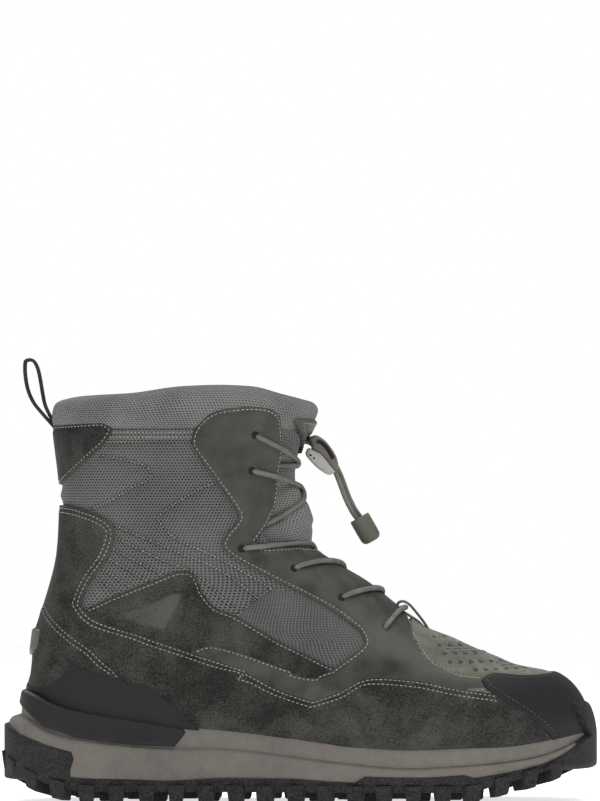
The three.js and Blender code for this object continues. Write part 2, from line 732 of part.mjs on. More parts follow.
const GUARD = [
  [[-0.01, 0.301], [0.043, 0.297], [0.065, 0.281], [0.086, 0.279], [0.101, 0.291], [0.115, 0.318]],
  [[0.131, 0.329], [0.151, 0.321], [0.209, 0.293], [0.254, 0.276], [0.296, 0.229], [0.336, 0.179]],
  [[0.336, 0.1], [-0.01, 0.1]],
];
const ACCENT = [
  [[0.131, 0.456], [0.196, 0.499], [0.257, 0.534], [0.297, 0.556], [0.324, 0.549], [0.337, 0.508]],
  [[0.359, 0.47], [0.395, 0.448], [0.461, 0.392], [0.526, 0.346], [0.568, 0.315]],
  [[0.534, 0.242], [0.4, 0.267], [0.131, 0.388]],
];
const HEEL_TAB = [
  [[-0.01, 0.907], [0.092, 0.909], [0.173, 0.915]],
  [[0.19, 0.897], [0.176, 0.863], [0.157, 0.837], [0.125, 0.795], [0.099, 0.76]],
  [[-0.01, 0.759]],
];
const TOE_CAP = [
  [[0.798, 0.291], [0.815, 0.306], [0.871, 0.299], [0.931, 0.301]],
  [[1.04, 0.31], [1.04, 0.05], [0.924, 0.05]],
  [[0.915, 0.149], [0.889, 0.192], [0.841, 0.24], [0.807, 0.272]],
];
const VAMP = [
  [[0.684, 0.582], [1.04, 0.582], [1.04, 0.267]],
  [[0.787, 0.242], [0.711, 0.291], [0.684, 0.388]],
];
const BADGE = [
  [[-0.01, 0.419], [0.064, 0.419], [0.074, 0.407]],
  [[0.071, 0.376], [0.064, 0.359], [0.052, 0.335]],
  [[-0.01, 0.335]],
];

// A flat overlay of the form on one side or both, cut back from the ones above it.
const COLLAR_ROWS = [...UPPER_ROWS, 1.045, 1.09];
function overlay(outline, thickness, side, above, rows = UPPER_ROWS, under = 0) {
  const inside = under + CLEARANCE;
  const skin = wall(inside, inside + thickness, CLEARANCE, SEAM * HEIGHT, rows);
  const trimmed = skin.intersect(across(sideShape(outline), ...SIDES[side]));
  const covers = above.map((cover) => across(grow(sideShape(cover), CLEARANCE), ...SIDES.both));
  const body = covers.reduce((solid, cover) => solid.subtract(cover), trimmed);
  return largest(body.subtract(soleBlock()));
}

// The main body of a solid, without the crumbs that a cut may leave.
function largest(solid) {
  return solid.decompose().sort((a, b) => b.volume() - a.volume())[0];
}

const throatCut = () => across(sideShape(THROAT), ...SIDES.both);

function quarter(side) {
  const covers = [FOXING, TOE_CAP];
  return largest(overlay(QUARTER, LAYERS.quarter, side, covers, COLLAR_ROWS).subtract(throatCut()));
}
const accent = (side) => overlay(ACCENT, LAYERS.accent, side, [QUARTER, FOXING]);
const foxing = () => overlay(FOXING, LAYERS.foxing, "both", [COUNTER, GUARD, TOE_CAP]);
const counter = () => overlay(COUNTER, LAYERS.counter, "both", [GUARD]);
const guard = () => overlay(GUARD, LAYERS.guard, "both", []);
const heelTab = () => overlay(HEEL_TAB, LAYERS.tab, "both", [], COLLAR_ROWS);
const vamp = () => overlay(VAMP, LAYERS.vamp, "both", [QUARTER, FOXING, TOE_CAP]);
const badge = () =>
  overlay(BADGE, BADGE_THICKNESS, "both", [], UPPER_ROWS, CLEARANCE + LAYERS.counter);

function toeCap() {
  const bumper = edgeRing(-2 * PROUD, WRAP_THICKNESS + 2 * PROUD + CLEARANCE, BUMPER_SECTION);
  const near = across(grow(sideShape(TOE_BUMPER), CLEARANCE), ...SIDES.both);
  return overlay(TOE_CAP, LAYERS.toe, "both", []).subtract(bumper.intersect(near));
}

// Padded ring above the seam. Each row: share of its rise, and how far it stands out of the form,
// a share of its thickness.
const CUFF_ROWS = [
  [0, 0.07],
  [0.35, 0.343],
  [0.8, 0.286],
  [1, -0.114],
  [0.97, -0.43],
  [0.4, -0.657],
  [0, -0.514],
];

function cuff() {
  const bottom = SEAM * HEIGHT + CLEARANCE;
  const row = ([share, out]) =>
    angles(AROUND).map((a) => {
      const top = HEIGHT * COLLAR("top", formPoint(a, HEIGHT * 0.95).x / LENGTH);
      return offsetPoint(a, mix(bottom, top, share), out * CUFF_THICKNESS);
    });
  const ring = ringLoft(CUFF_ROWS.map(row));
  const covers = [QUARTER, HEEL_TAB].map((cover) => across(grow(sideShape(cover), CLEARANCE), ...SIDES.both));
  const skin = wall(CLEARANCE * -1, 8, CLEARANCE, SEAM * HEIGHT, COLLAR_ROWS);
  return largest(covers.reduce((solid, cover) => solid.subtract(cover.intersect(skin)), ring));
}

// Angle on the form, outer side, where the side view shows a place along the boot at a height.
function angleAt(share, level) {
  const back = PROFILE("back", level);
  const front = PROFILE("front", level);
  const t = Math.min(1, Math.max(0, (share - back) / (front - back)));
  return Math.acos(1 - 2 * t);
}

// Leather tab at the tongue's top, a shield. Rows: height, half width as an angle.
const TAB_ROWS = [
  [0.842, 0.05],
  [0.852, 0.13],
  [0.872, 0.2],
  [0.896, 0.25],
];
const TAB_ACROSS = 6;

function tongueTab() {
  const row = ([level, reach], out) =>
    steps(TAB_ACROSS + 1, (n) => {
      const angle = Math.PI + (n / TAB_ACROSS - 0.5) * 2 * reach;
      return offsetPoint(angle, level * HEIGHT, TONGUE_THICKNESS * TONGUE("bulge", level) + out);
    });
  return loft(
    TAB_ROWS.map((r) => [...row(r, 2 * CLEARANCE + LAYERS.tab), ...row(r, 2 * CLEARANCE).reverse()]),
  );
}

// The lacing. Each crossing runs from an eyelet over the tongue's crest to the far facing, where
// it dives under the edge: [along, height] of each in the side view.
const CROSSINGS = [
  { eye: [0.424, 0.885], crest: [0.504, 0.817], dive: [0.462, 0.808] },
  { eye: [0.418, 0.798], crest: [0.507, 0.752], dive: [0.455, 0.67] },
  { eye: [0.403, 0.611], crest: [0.531, 0.604], dive: [0.516, 0.592] },
  { eye: [0.489, 0.56], crest: [0.571, 0.555], dive: [0.575, 0.542] },
  { eye: [0.568, 0.49], crest: [0.642, 0.495], dive: [0.64, 0.475] },
];
const BAR = { eye: [0.642, 0.418], through: [0.6775, 0.4675] };
const EYE_LIFT = LAYERS.quarter + 4 * CLEARANCE;

// How far the cord's middle lies out of the form, over facing and tongue alike.
function laceOut(angle, level) {
  const shifts = [-0.012, 0, 0.012];
  const outs = shifts.flatMap((da) =>
    shifts.map((dl) => {
      const a = angle + da * 6;
      const z = level + dl;
      const point = formPoint(a, z * HEIGHT);
      const half = throatHalf(z);
      const off = Math.abs(point.y - BALL_WIDTH * PLAN("centre", point.x / LENGTH));
      return off > half - 1.5 ? EYE_LIFT : Math.max(-0.5, tongueOut(a, z) + CLEARANCE);
    }),
  );
  return Math.max(...outs) + LACE / 2 + CLEARANCE;
}

// A cord along points in space.
function cord(points, diameter = LACE, sides = 5) {
  const curve = new THREE.CatmullRomCurve3(points, false, "centripetal");
  const section = new THREE.Shape(
    steps(sides, (n) => new THREE.Vector2().setX(diameter / 2).rotateAround(new THREE.Vector2(), (turn * n) / sides)),
  );
  const geometry = new THREE.ExtrudeGeometry(section, {
    steps: Math.max(2, Math.round(curve.getLength() / (4 * diameter))),
    bevelEnabled: false,
    extrudePath: curve,
  });
  return fromGeometry(geometry);
}

// One strand of a crossing. side is 1 from the outer eyelet and -1 from the inner one.
function strand({ eye, crest, dive }, side, stop) {
  const turned = (angle) => (side > 0 ? angle : turn - angle);
  const start = angleAt(...eye);
  const end = turn - angleAt(...dive);
  const place = (angle, level) =>
    offsetPoint(turned(angle), level * HEIGHT, laceOut(turned(angle), level));
  const count = 7;
  const first = steps(count, (n) => {
    const t = n / count;
    return place(mix(start, Math.PI, t), mix(eye[1], crest[1], t));
  });
  const second = steps(count + 1, (n) => {
    const t = (stop * n) / count;
    return place(mix(Math.PI, end, t), mix(crest[1], dive[1], t));
  });
  return cord([...first, ...second]);
}

const crossing = (route) => strand(route, 1, 0.75).add(strand(route, -1, 0.75));

// The strip folded over the lowest lace, a ring in the side view.
const VAMP_LOOP = {
  outside: [
    [[0.718, 0.42], [0.698, 0.456], [0.686, 0.476], [0.676, 0.4845], [0.666, 0.483], [0.6625, 0.474]],
    [[0.666, 0.462], [0.681, 0.447], [0.7, 0.43], [0.714, 0.4155]],
  ],
  inside: [
    [[0.711, 0.4265], [0.6955, 0.453], [0.6845, 0.471], [0.6755, 0.479], [0.669, 0.478], [0.6665, 0.473]],
    [[0.6695, 0.4655], [0.683, 0.453], [0.7, 0.4355]],
  ],
};
const VAMP_LOOP_WIDTH = 15;

// The webbing loop behind the collar.
const PULL_LOOP = {
  outside: [
    [[0.037, 1.065], [0.037, 1.032], [0.0415, 0.995], [0.051, 0.963], [0.067, 0.935], [0.085, 0.911]],
    [[0.09, 0.914], [0.0755, 0.953], [0.0705, 0.981], [0.0657, 1.022], [0.061, 1.055], [0.053, 1.07]],
    [[0.045, 1.0715], [0.0395, 1.069]],
  ],
  inside: [
    [[0.0405, 1.064], [0.0405, 1.033], [0.045, 0.997], [0.0545, 0.966], [0.069, 0.942]],
    [[0.0719, 0.952], [0.067, 0.98], [0.0622, 1.02], [0.0577, 1.052], [0.051, 1.0645], [0.045, 1.0665]],
  ],
};

function bandRing({ outside, inside }, width, middle) {
  const reach = [middle - width / 2, middle + width / 2];
  const hole = [reach[0] - 1, reach[1] + 1];
  return across(sideShape(outside), ...reach).subtract(across(sideShape(inside), ...hole));
}

function vampLoop() {
  const middle = BALL_WIDTH * PLAN("centre", VAMP_LOOP.outside[0][2][0]);
  const under = form(LAYERS.vamp + 2 * CLEARANCE, CLEARANCE, SEAM * HEIGHT, UPPER_ROWS);
  return largest(bandRing(VAMP_LOOP, VAMP_LOOP_WIDTH, middle).subtract(under));
}

function pullLoop() {
  const under = form(2.4 + CLEARANCE, CLEARANCE, SEAM * HEIGHT, [...COLLAR_ROWS, 1.14]);
  return largest(bandRing(PULL_LOOP, LOOP_WIDTH, 0).subtract(under));
}

// The lowest lace: a bar from one facing to the other through the strip's fold.
function laceBar() {
  const through = new THREE.Vector3(...BAR.through.map((v, k) => v * (k ? HEIGHT : LENGTH)), 0);
  const middle = BALL_WIDTH * PLAN("centre", BAR.through[0]);
  const half = (side) => {
    const start = angleAt(...BAR.eye);
    const eye = side > 0 ? start : turn - start;
    const from = offsetPoint(eye, BAR.eye[1] * HEIGHT, laceOut(eye, BAR.eye[1]));
    const to = (share) =>
      new THREE.Vector3(through.x, middle - side * VAMP_LOOP_WIDTH * share, through.y);
    const lift = from.clone().lerp(to(0.6), 0.5);
    lift.x += LACE;
    lift.z += LACE;
    return [from, lift, to(0.55), to(0.25)];
  };
  return cord([...half(1), ...half(-1).reverse()]);
}

// Cord lock: a rounded shell on a slim base, hung from the tongue's tab by the two ends of the lace.
const LOCK_SHELL = [
  [[0.515, 0.879], [0.527, 0.885], [0.541, 0.874], [0.552, 0.856], [0.561, 0.835], [0.565, 0.816]],
  [[0.564, 0.804], [0.559, 0.799], [0.547, 0.818], [0.534, 0.839], [0.52, 0.852]],
];
const LOCK_BASE = [
  [[0.5095, 0.841], [0.5125, 0.85], [0.5185, 0.8465], [0.5325, 0.836], [0.546, 0.814], [0.558, 0.795]],
  [[0.55, 0.788], [0.535, 0.799], [0.521, 0.817], [0.511, 0.834]],
];
const lock = (outline, width) => across(sideShape(outline), -width / 2, width / 2);

// The lace's ends, from the lock to the cord end, shares in the side view.
const DROP = [[0.563, 0.7962], [0.571, 0.768], [0.5795, 0.735], [0.59, 0.704], [0.5985, 0.6862]];
const CORD_SPREAD = 1.7; // half the distance between the two ends, middle to middle
const CORD_END = { top: [0.6, 0.6855], foot: [0.6215, 0.6315] };

const sideCord = (points, y) =>
  cord(points.map(([a, b]) => new THREE.Vector3(a * LENGTH, y, b * HEIGHT)), LACE, 8);

function cordEnd() {
  const size = ([a, b]) => new THREE.Vector3(a * LENGTH, 0, b * HEIGHT);
  const [top, foot] = [size(CORD_END.top), size(CORD_END.foot)];
  const axis = foot.clone().sub(top).normalize();
  const outline = [
    [0, 0],
    [0.5, 0],
    [0.5, 0.72],
    [0.42, 0.93],
    [0.25, 1],
    [0, 1],
  ].map(([r, l]) => new THREE.Vector2(r * END_WIDTH, l * END_LENGTH));
  const cup = new THREE.LatheGeometry(outline, 14);
  cup.applyQuaternion(new THREE.Quaternion().setFromUnitVectors(new THREE.Vector3(0, 1, 0), axis));
  cup.translate(top.x, top.y, top.z);
  return fromGeometry(cup);
}

const COLOURS = {
  leather: [0x454843, 0.6],
  nubuck: [0x62645a, 0.95],
  guard: [0x2b2b2c, 0.7],
  padding: [0x4a4c4a, 0.9],
  lace: [0x6b6a64, 0.8],
  lock: [0x5d5850, 0.5],
  lockBase: [0xb7babb, 0.5],
  rubber: [0x2b2b2b, 0.85],
  foam: [0x6d6862, 0.8],
  lining: [0x3c3d3c, 0.95],
  fabric: [0x56575a, 0.9],
};

const boot = new THREE.Group();

// A named mesh of the boot from a solid.
function piece(name, solid, finish) {
  const [colour, roughness] = COLOURS[finish];
  const made = solid.simplify(SLACK).getMesh();
  const geometry = new THREE.BufferGeometry();
  geometry.setAttribute("position", new THREE.BufferAttribute(made.vertProperties, 3));
  geometry.setIndex(new THREE.BufferAttribute(made.triVerts, 1));
  const mesh = new THREE.Mesh(
    geometry,
    new THREE.MeshStandardMaterial({ color: colour, roughness, metalness: 0 }),
  );
  mesh.name = name;
  boot.add(mesh);
}

piece("outsole", outsole(), "rubber");
piece("midsole", midsole(), "foam");
piece("heel_band", bandSolid(0, sideShape(HEEL_BAND)), "guard");
piece("insole", insole(), "lining");
piece("upper", upper(), "fabric");
piece("tongue", tongue(), "fabric");
piece("tongue_tab", tongueTab(), "leather");
piece("collar_cuff", cuff(), "padding");
piece("vamp", vamp(), "nubuck");
piece("toe_cap", toeCap(), "guard");
piece("foxing", foxing(), "leather");
piece("quarter_lateral", quarter("outer"), "leather");
piece("quarter_medial", quarter("inner"), "leather");
piece("accent_lateral", accent("outer"), "leather");
piece("accent_medial", accent("inner"), "leather");
piece("heel_counter", counter(), "leather");
piece("heel_guard", guard(), "guard");
piece("heel_tab", heelTab(), "leather");
piece("heel_badge", badge(), "guard");
CROSSINGS.forEach((route, n) => piece(`lace_cross_${n + 1}`, crossing(route), "lace"));
piece("lace_bar", laceBar(), "lace");
piece("vamp_loop", vampLoop(), "nubuck");
piece("pull_loop", pullLoop(), "guard");
piece("lock_shell", lock(LOCK_SHELL, LOCK_WIDTH), "lock");
piece("lock_base", lock(LOCK_BASE, LOCK_WIDTH - 1), "lockBase");
piece("lace_end_a", sideCord(DROP, -CORD_SPREAD), "lace");
piece("lace_end_b", sideCord(DROP, CORD_SPREAD), "lace");
piece("cord_end", cordEnd(), "leather");

// The origin is the middle of the boot's box, on the floor.
const box = new THREE.Box3().setFromObject(boot);
const middle = box.getCenter(new THREE.Vector3());
boot.position.set(-middle.x, -middle.y, -box.min.z);

export default boot;
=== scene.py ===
"""Mid-height winter sneaker boot for the right foot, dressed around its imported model. Metres.

x runs from the heel to the toe, y from the outer side (minus) to the inner side (plus), z up.
"""
import math

import bmesh
import bpy
import numpy as np
from mathutils import Matrix, Vector
from mathutils.bvhtree import BVHTree


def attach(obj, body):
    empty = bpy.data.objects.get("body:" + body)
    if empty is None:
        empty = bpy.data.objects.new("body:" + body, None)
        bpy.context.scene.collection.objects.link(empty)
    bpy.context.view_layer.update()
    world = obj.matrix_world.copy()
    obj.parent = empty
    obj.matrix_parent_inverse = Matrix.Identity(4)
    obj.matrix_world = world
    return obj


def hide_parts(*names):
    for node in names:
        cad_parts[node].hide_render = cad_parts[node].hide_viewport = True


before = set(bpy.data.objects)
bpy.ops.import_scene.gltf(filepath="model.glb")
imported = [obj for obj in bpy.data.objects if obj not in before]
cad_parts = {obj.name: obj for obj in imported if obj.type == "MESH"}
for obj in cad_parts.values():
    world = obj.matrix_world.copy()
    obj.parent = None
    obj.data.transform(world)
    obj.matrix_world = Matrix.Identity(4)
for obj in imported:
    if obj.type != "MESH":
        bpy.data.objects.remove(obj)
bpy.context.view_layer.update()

MM = 0.001

# Driving sizes of the boot
LENGTH = 0.303  # heel lug to toe bumper
HEIGHT = 0.210  # floor to the highest point of the collar
BALL_WIDTH = 0.106  # outsole across the ball of the foot
WALL = 3 * MM  # fabric, foam and lining of the upper
PROUD = 1.8 * MM  # how far lugs and bumper stand out of the sole's side
SEAM = 0.9  # height of the seam under the cuff, share of HEIGHT
LACE = 2.6 * MM  # diameter of the elastic cord
ORIGIN = np.array([-0.151487, 0.000479, 0.0])  # the heel end of the boot's own axes
OUTER_FACE = {  # how far each layer's face lies out of the upper's fabric
    "accent": 1.5 * MM,
    "vamp": 1.6 * MM,
    "quarter": 1.9 * MM,
    "tab": 1.9 * MM,
    "foxing": 2.3 * MM,
    "counter": 2.7 * MM,
    "toe": 2.9 * MM,
    "guard": 3.1 * MM,
    "badge": 4.1 * MM,
}


# Camera: the photo's side view, from far off, with the boot's floor at its lower edge
VIEW_WIDTH = 0.3055  # metres across the picture at the boot
VIEW_HEIGHT = VIEW_WIDTH * 801 / 600
VIEW_DISTANCE = 3.2
VIEW_CENTRE = Vector((0.0002, 0, 0.2035))
SENSOR = 36


def make_camera():
    """A long lens, so that near and far parts of the boot keep one scale."""
    data = bpy.data.cameras.new("camera")
    data.sensor_width = SENSOR
    data.lens = SENSOR * VIEW_DISTANCE / VIEW_HEIGHT
    data.clip_end = 50
    camera = bpy.data.objects.new("camera", data)
    camera.location = VIEW_CENTRE + Vector((0, -VIEW_DISTANCE, -0.06))
    camera.rotation_euler = (VIEW_CENTRE - camera.location).to_track_quat("-Z", "Y").to_euler()
    bpy.context.scene.collection.objects.link(camera)
    bpy.context.scene.camera = camera


make_camera()


def table(columns, rows):
    """Columns of numbers with names, read smoothly at any value of the first column."""
    grid = np.array(rows, float)
    keys = grid[:, 0]

    def read(name, at):
        column = grid[:, columns.index(name)]
        slopes = np.diff(column) / np.diff(keys)
        before, after = slopes[:-1], slopes[1:]
        same = before * after > 0
        inner = np.where(same, 2 * before * after / np.where(same, before + after, 1), 0)
        tangent = np.concatenate([slopes[:1], inner, slopes[-1:]])
        at = np.clip(at, keys[0], keys[-1])
        n = np.clip(np.searchsorted(keys, at, "right") - 1, 0, len(keys) - 2)
        step = keys[n + 1] - keys[n]
        t = (at - keys[n]) / step
        ease = t * t * (3 - 2 * t)
        bend = step * t * (1 - t) * (tangent[n] * (1 - t) - tangent[n + 1] * t)
        return column[n] * (1 - ease) + column[n + 1] * ease + bend

    return read


# Plan of the sole and of the last: along is a share of LENGTH, the rest are shares of BALL_WIDTH
PLAN = table(
    ["along", "centre", "sole_outer", "sole_inner", "last_outer", "last_inner"],
    [
        [0.0, 0.0, 0.377, 0.373, 0.316, 0.307], [0.165, 0.0, 0.387, 0.377, 0.321, 0.311],
        [0.297, 0.0, 0.387, 0.363, 0.33, 0.311], [0.429, 0.0, 0.415, 0.358, 0.368, 0.316],
        [0.528, 0.005, 0.458, 0.373, 0.41, 0.33], [0.627, 0.014, 0.505, 0.41, 0.458, 0.363],
        [0.71, 0.024, 0.528, 0.453, 0.481, 0.401], [0.776, 0.033, 0.524, 0.462, 0.476, 0.415],
        [0.842, 0.042, 0.505, 0.448, 0.462, 0.404], [0.908, 0.057, 0.491, 0.415, 0.443, 0.373],
        [1.0, 0.066, 0.481, 0.396, 0.434, 0.358],
    ],
)
HEEL_ROUND = 0.139  # shares of LENGTH over which the ends of the sole close
TOE_ROUND = 0.182
END_POWER = 2.35  # squareness of heel and toe, 2 is an ellipse
LEAN_REACH = 0.23  # share of LENGTH over which the heel end leans forward

# Heights along the sole, shares of HEIGHT
SOLE_SIDE = table(
    ["along", "joint", "groove", "rim", "bed"],
    [
        [0.0, 0.129, 0.214, 0.262, 0.205], [0.04, 0.09, 0.198, 0.252, 0.2],
        [0.073, 0.074, 0.176, 0.231, 0.195], [0.119, 0.063, 0.16, 0.214, 0.188],
        [0.188, 0.057, 0.146, 0.199, 0.174], [0.274, 0.055, 0.135, 0.185, 0.156],
        [0.383, 0.062, 0.13, 0.176, 0.137], [0.479, 0.061, 0.114, 0.16, 0.12],
        [0.584, 0.052, 0.095, 0.138, 0.104], [0.68, 0.051, 0.085, 0.13, 0.095],
        [0.756, 0.057, 0.09, 0.133, 0.097], [0.838, 0.074, 0.099, 0.139, 0.107],
        [0.904, 0.095, 0.114, 0.149, 0.119], [0.957, 0.126, 0.14, 0.167, 0.138],
        [1.0, 0.157, 0.167, 0.183, 0.157],
    ],
)
TREAD = table(
    ["along", "clear"],
    [
        [0.0, 0.081], [0.026, 0.057], [0.056, 0.031], [0.099, 0.011], [0.145, 0.0], [0.779, 0.0],
        [0.835, 0.022], [0.881, 0.037], [0.927, 0.058], [0.97, 0.092], [1.0, 0.118],
    ],
)

# The upper at each height: where its back and front lie and over what length they round off,
# shares of LENGTH; how much of the last's plan is left; and the shaft's half width
PROFILE = table(
    ["height", "back", "front", "plan", "full", "shaft", "heel_round", "toe_round"],
    [
        [0.095, 0.056, 0.977, 1.0, 0.97, 0.349, 0.125, 0.172],
        [0.19, 0.051, 0.98, 1.0, 1.0, 0.349, 0.125, 0.172],
        [0.238, 0.05, 0.97, 1.0, 0.98, 0.349, 0.125, 0.176],
        [0.262, 0.05, 0.96, 1.0, 0.97, 0.349, 0.125, 0.178],
        [0.286, 0.053, 0.944, 1.0, 0.95, 0.349, 0.126, 0.185],
        [0.307, 0.057, 0.914, 1.0, 0.925, 0.349, 0.126, 0.198],
        [0.321, 0.058, 0.865, 0.98, 0.905, 0.349, 0.127, 0.205],
        [0.343, 0.0595, 0.828, 0.95, 0.885, 0.349, 0.128, 0.215],
        [0.364, 0.06, 0.791, 0.92, 0.87, 0.349, 0.128, 0.225],
        [0.389, 0.062, 0.754, 0.86, 0.85, 0.349, 0.129, 0.23],
        [0.41, 0.064, 0.716, 0.8, 0.835, 0.347, 0.13, 0.23],
        [0.433, 0.069, 0.69, 0.73, 0.82, 0.346, 0.13, 0.225],
        [0.476, 0.0775, 0.653, 0.6, 0.8, 0.345, 0.132, 0.215],
        [0.524, 0.0875, 0.611, 0.42, 0.785, 0.345, 0.138, 0.2],
        [0.571, 0.0957, 0.556, 0.25, 0.78, 0.347, 0.145, 0.19],
        [0.6, 0.099, 0.528, 0.15, 0.78, 0.349, 0.15, 0.185],
        [0.643, 0.1015, 0.507, 0.06, 0.78, 0.352, 0.158, 0.18],
        [0.714, 0.103, 0.492, 0.0, 0.78, 0.36, 0.17, 0.178],
        [0.786, 0.1, 0.487, 0.0, 0.78, 0.37, 0.18, 0.18],
        [0.857, 0.094, 0.495, 0.0, 0.78, 0.385, 0.19, 0.19],
        [0.905, 0.0908, 0.51, 0.0, 0.78, 0.396, 0.195, 0.195],
        [0.952, 0.094, 0.526, 0.0, 0.78, 0.405, 0.2, 0.2], [1.0, 0.099, 0.535, 0.0, 0.78, 0.405, 0.2, 0.2],
    ],
)
COLLAR = table(
    ["along", "top"],
    [
        [0.08, 0.965], [0.13, 0.976], [0.21, 0.981], [0.3, 0.997], [0.36, 1.0], [0.41, 0.997],
        [0.47, 0.978], [0.54, 0.955],
    ],
)

# Front edge of the facings, a share of LENGTH at each height
FACING = table(
    ["height", "edge"],
    [
        [0.434, 0.682], [0.45, 0.668], [0.464, 0.645], [0.506, 0.607], [0.555, 0.56], [0.588, 0.52],
        [0.604, 0.49], [0.62, 0.462], [0.66, 0.45], [0.71, 0.455], [0.78, 0.461], [0.84, 0.466],
        [0.89, 0.467], [0.925, 0.462],
    ],
)
THROAT_FOOT = 0.434

# Tongue at each height: how far it stands out of the form, a share of its thickness, and its
# reach round it as an angle
TONGUE = table(
    ["height", "bulge", "reach"],
    [
        [0.43, -1.1, 0.5], [0.452, -0.75, 0.55], [0.5, -0.5, 0.58], [0.55, -0.4, 0.62], [0.6, -0.2, 0.7],
        [0.64, 1.15, 0.8], [0.676, 1.9, 0.86], [0.705, 1.8, 0.88], [0.74, 1.15, 0.88], [0.79, 0.4, 0.88],
        [0.897, 0.35, 0.88],
    ],
)
TONGUE_RANGE = (0.43, 0.897)
TONGUE_THICKNESS = 4 * MM


def mix(a, b, t):
    return a + (b - a) * t


def smooth(t):
    t = np.clip(t, 0, 1)
    return t * t * (3 - 2 * t)


def bell(distance, width):
    """1 at no distance, and soon nothing beyond the width."""
    return np.exp(-((distance / width) ** 2))


def walked(points):
    """Way from the first point of a line to each of its points."""
    return np.concatenate([[0], np.cumsum(np.linalg.norm(np.diff(points, axis=0), axis=1))])


def on_side(angle, side):
    """An angle of the outer side, or its like on the inner side, where side is -1."""
    return angle if side > 0 else 2 * math.pi - angle


def end_round(distance, length):
    """Width left at a distance from an end that rounds off over a length."""
    t = np.clip(distance / length, 0, 1)
    return (1 - (1 - t) ** END_POWER) ** (1 / END_POWER)


def form(angle, z):
    """Point of the upper's face. angle is 0 at the heel, half a turn at the toe, outer side first."""
    angle, z = np.broadcast_arrays(np.asarray(angle, float), np.asarray(z, float))
    level = z / HEIGHT
    back = LENGTH * PROFILE("back", level)
    front = LENGTH * PROFILE("front", level)
    x = back + (front - back) * (1 - np.cos(angle)) / 2
    outer = np.sin(angle) >= 0
    share = x / LENGTH
    last = PROFILE("full", level) * np.where(outer, PLAN("last_outer", share), PLAN("last_inner", share))
    half = BALL_WIDTH * mix(PROFILE("shaft", level), last, PROFILE("plan", level))
    heel = end_round(x - back, LENGTH * PROFILE("heel_round", level))
    toe = end_round(front - x, LENGTH * PROFILE("toe_round", level))
    y = BALL_WIDTH * PLAN("centre", share) + np.where(outer, -1, 1) * half * heel * toe
    return np.stack([x, y, z], -1)


def unit(vectors):
    return vectors / np.maximum(np.linalg.norm(vectors, axis=-1, keepdims=True), 1e-12)


def skin(angle, z, out):
    """The same point moved out along the face's own direction."""
    step, rise = 0.01, 0.8 * MM
    around = form(angle + step, z) - form(angle - step, z)
    up = form(angle, z + rise) - form(angle, z - rise)
    normal = unit(np.cross(around, up))
    return form(angle, z) + normal * np.asarray(out, float)[..., None]


def angle_at(x, z):
    """Angle on the form, outer side, where the side view shows a place."""
    back = LENGTH * PROFILE("back", z / HEIGHT)
    front = LENGTH * PROFILE("front", z / HEIGHT)
    return np.arccos(1 - 2 * np.clip((x - back) / (front - back), 0, 1))


def sole_edge(angle):
    """The sole's outline in plan."""
    run = LENGTH - 2 * PROUD
    x = PROUD + run * (1 - np.cos(angle)) / 2
    outer = np.sin(angle) >= 0
    share = x / LENGTH
    half = BALL_WIDTH * np.where(outer, PLAN("sole_outer", share), PLAN("sole_inner", share))
    ends = end_round(x - PROUD, LENGTH * HEEL_ROUND) * end_round(LENGTH - PROUD - x, LENGTH * TOE_ROUND)
    y = BALL_WIDTH * PLAN("centre", share) + np.where(outer, -1, 1) * half * ends
    return np.stack([x, y], -1)


def sole_normal(angle):
    step = 0.004
    along = sole_edge(angle + step) - sole_edge(angle - step)
    return unit(np.stack([along[..., 1], -along[..., 0]], -1))


def sole_loop(angle, inset, lean=0.0):
    """Sole outline moved in by inset, with its heel end leaning forward by lean."""
    point = sole_edge(angle) - sole_normal(angle) * np.asarray(inset, float)[..., None]
    back = np.maximum(0, 1 - point[..., 0] / (LENGTH * LEAN_REACH))
    point[..., 0] += lean * back * back
    return point


def sole_angle(x):
    """Angle on the sole's outline, outer side, at a place along the boot."""
    return np.arccos(1 - 2 * np.clip((x - PROUD) / (LENGTH - 2 * PROUD), 0, 1))


def sole_height(column, x):
    return HEIGHT * SOLE_SIDE(column, x / LENGTH)


def tread(x):
    return HEIGHT * TREAD("clear", x / LENGTH)


def throat_angles():
    """Half opening of the throat and half its width, at many heights."""
    levels = np.linspace(THROAT_FOOT, 0.925, 120)
    angles = angle_at(FACING("edge", levels) * LENGTH, levels * HEIGHT)
    edge = form(angles, levels * HEIGHT)
    half = np.abs(edge[:, 1] - BALL_WIDTH * PLAN("centre", edge[:, 0] / LENGTH))
    return levels, angles, half


THROAT_LEVELS, THROAT_ANGLES, THROAT_HALVES = throat_angles()


def throat_half(level):
    shifts = [-0.016, -0.008, 0, 0.008, 0.016]
    return np.min([np.interp(level + s, THROAT_LEVELS, THROAT_HALVES) for s in shifts], axis=0)


def tongue_out(angle, level):
    """Outward offset of the tongue's face: proud in the throat, tucked under the facings beside it."""
    point = form(angle, level * HEIGHT)
    middle = BALL_WIDTH * PLAN("centre", point[..., 0] / LENGTH)
    half = throat_half(level)
    in_throat = smooth((half - 1 * MM - np.abs(point[..., 1] - middle)) / (half * 0.6))
    return mix(-WALL - 1 * MM, TONGUE_THICKNESS * TONGUE("bulge", level), in_throat)


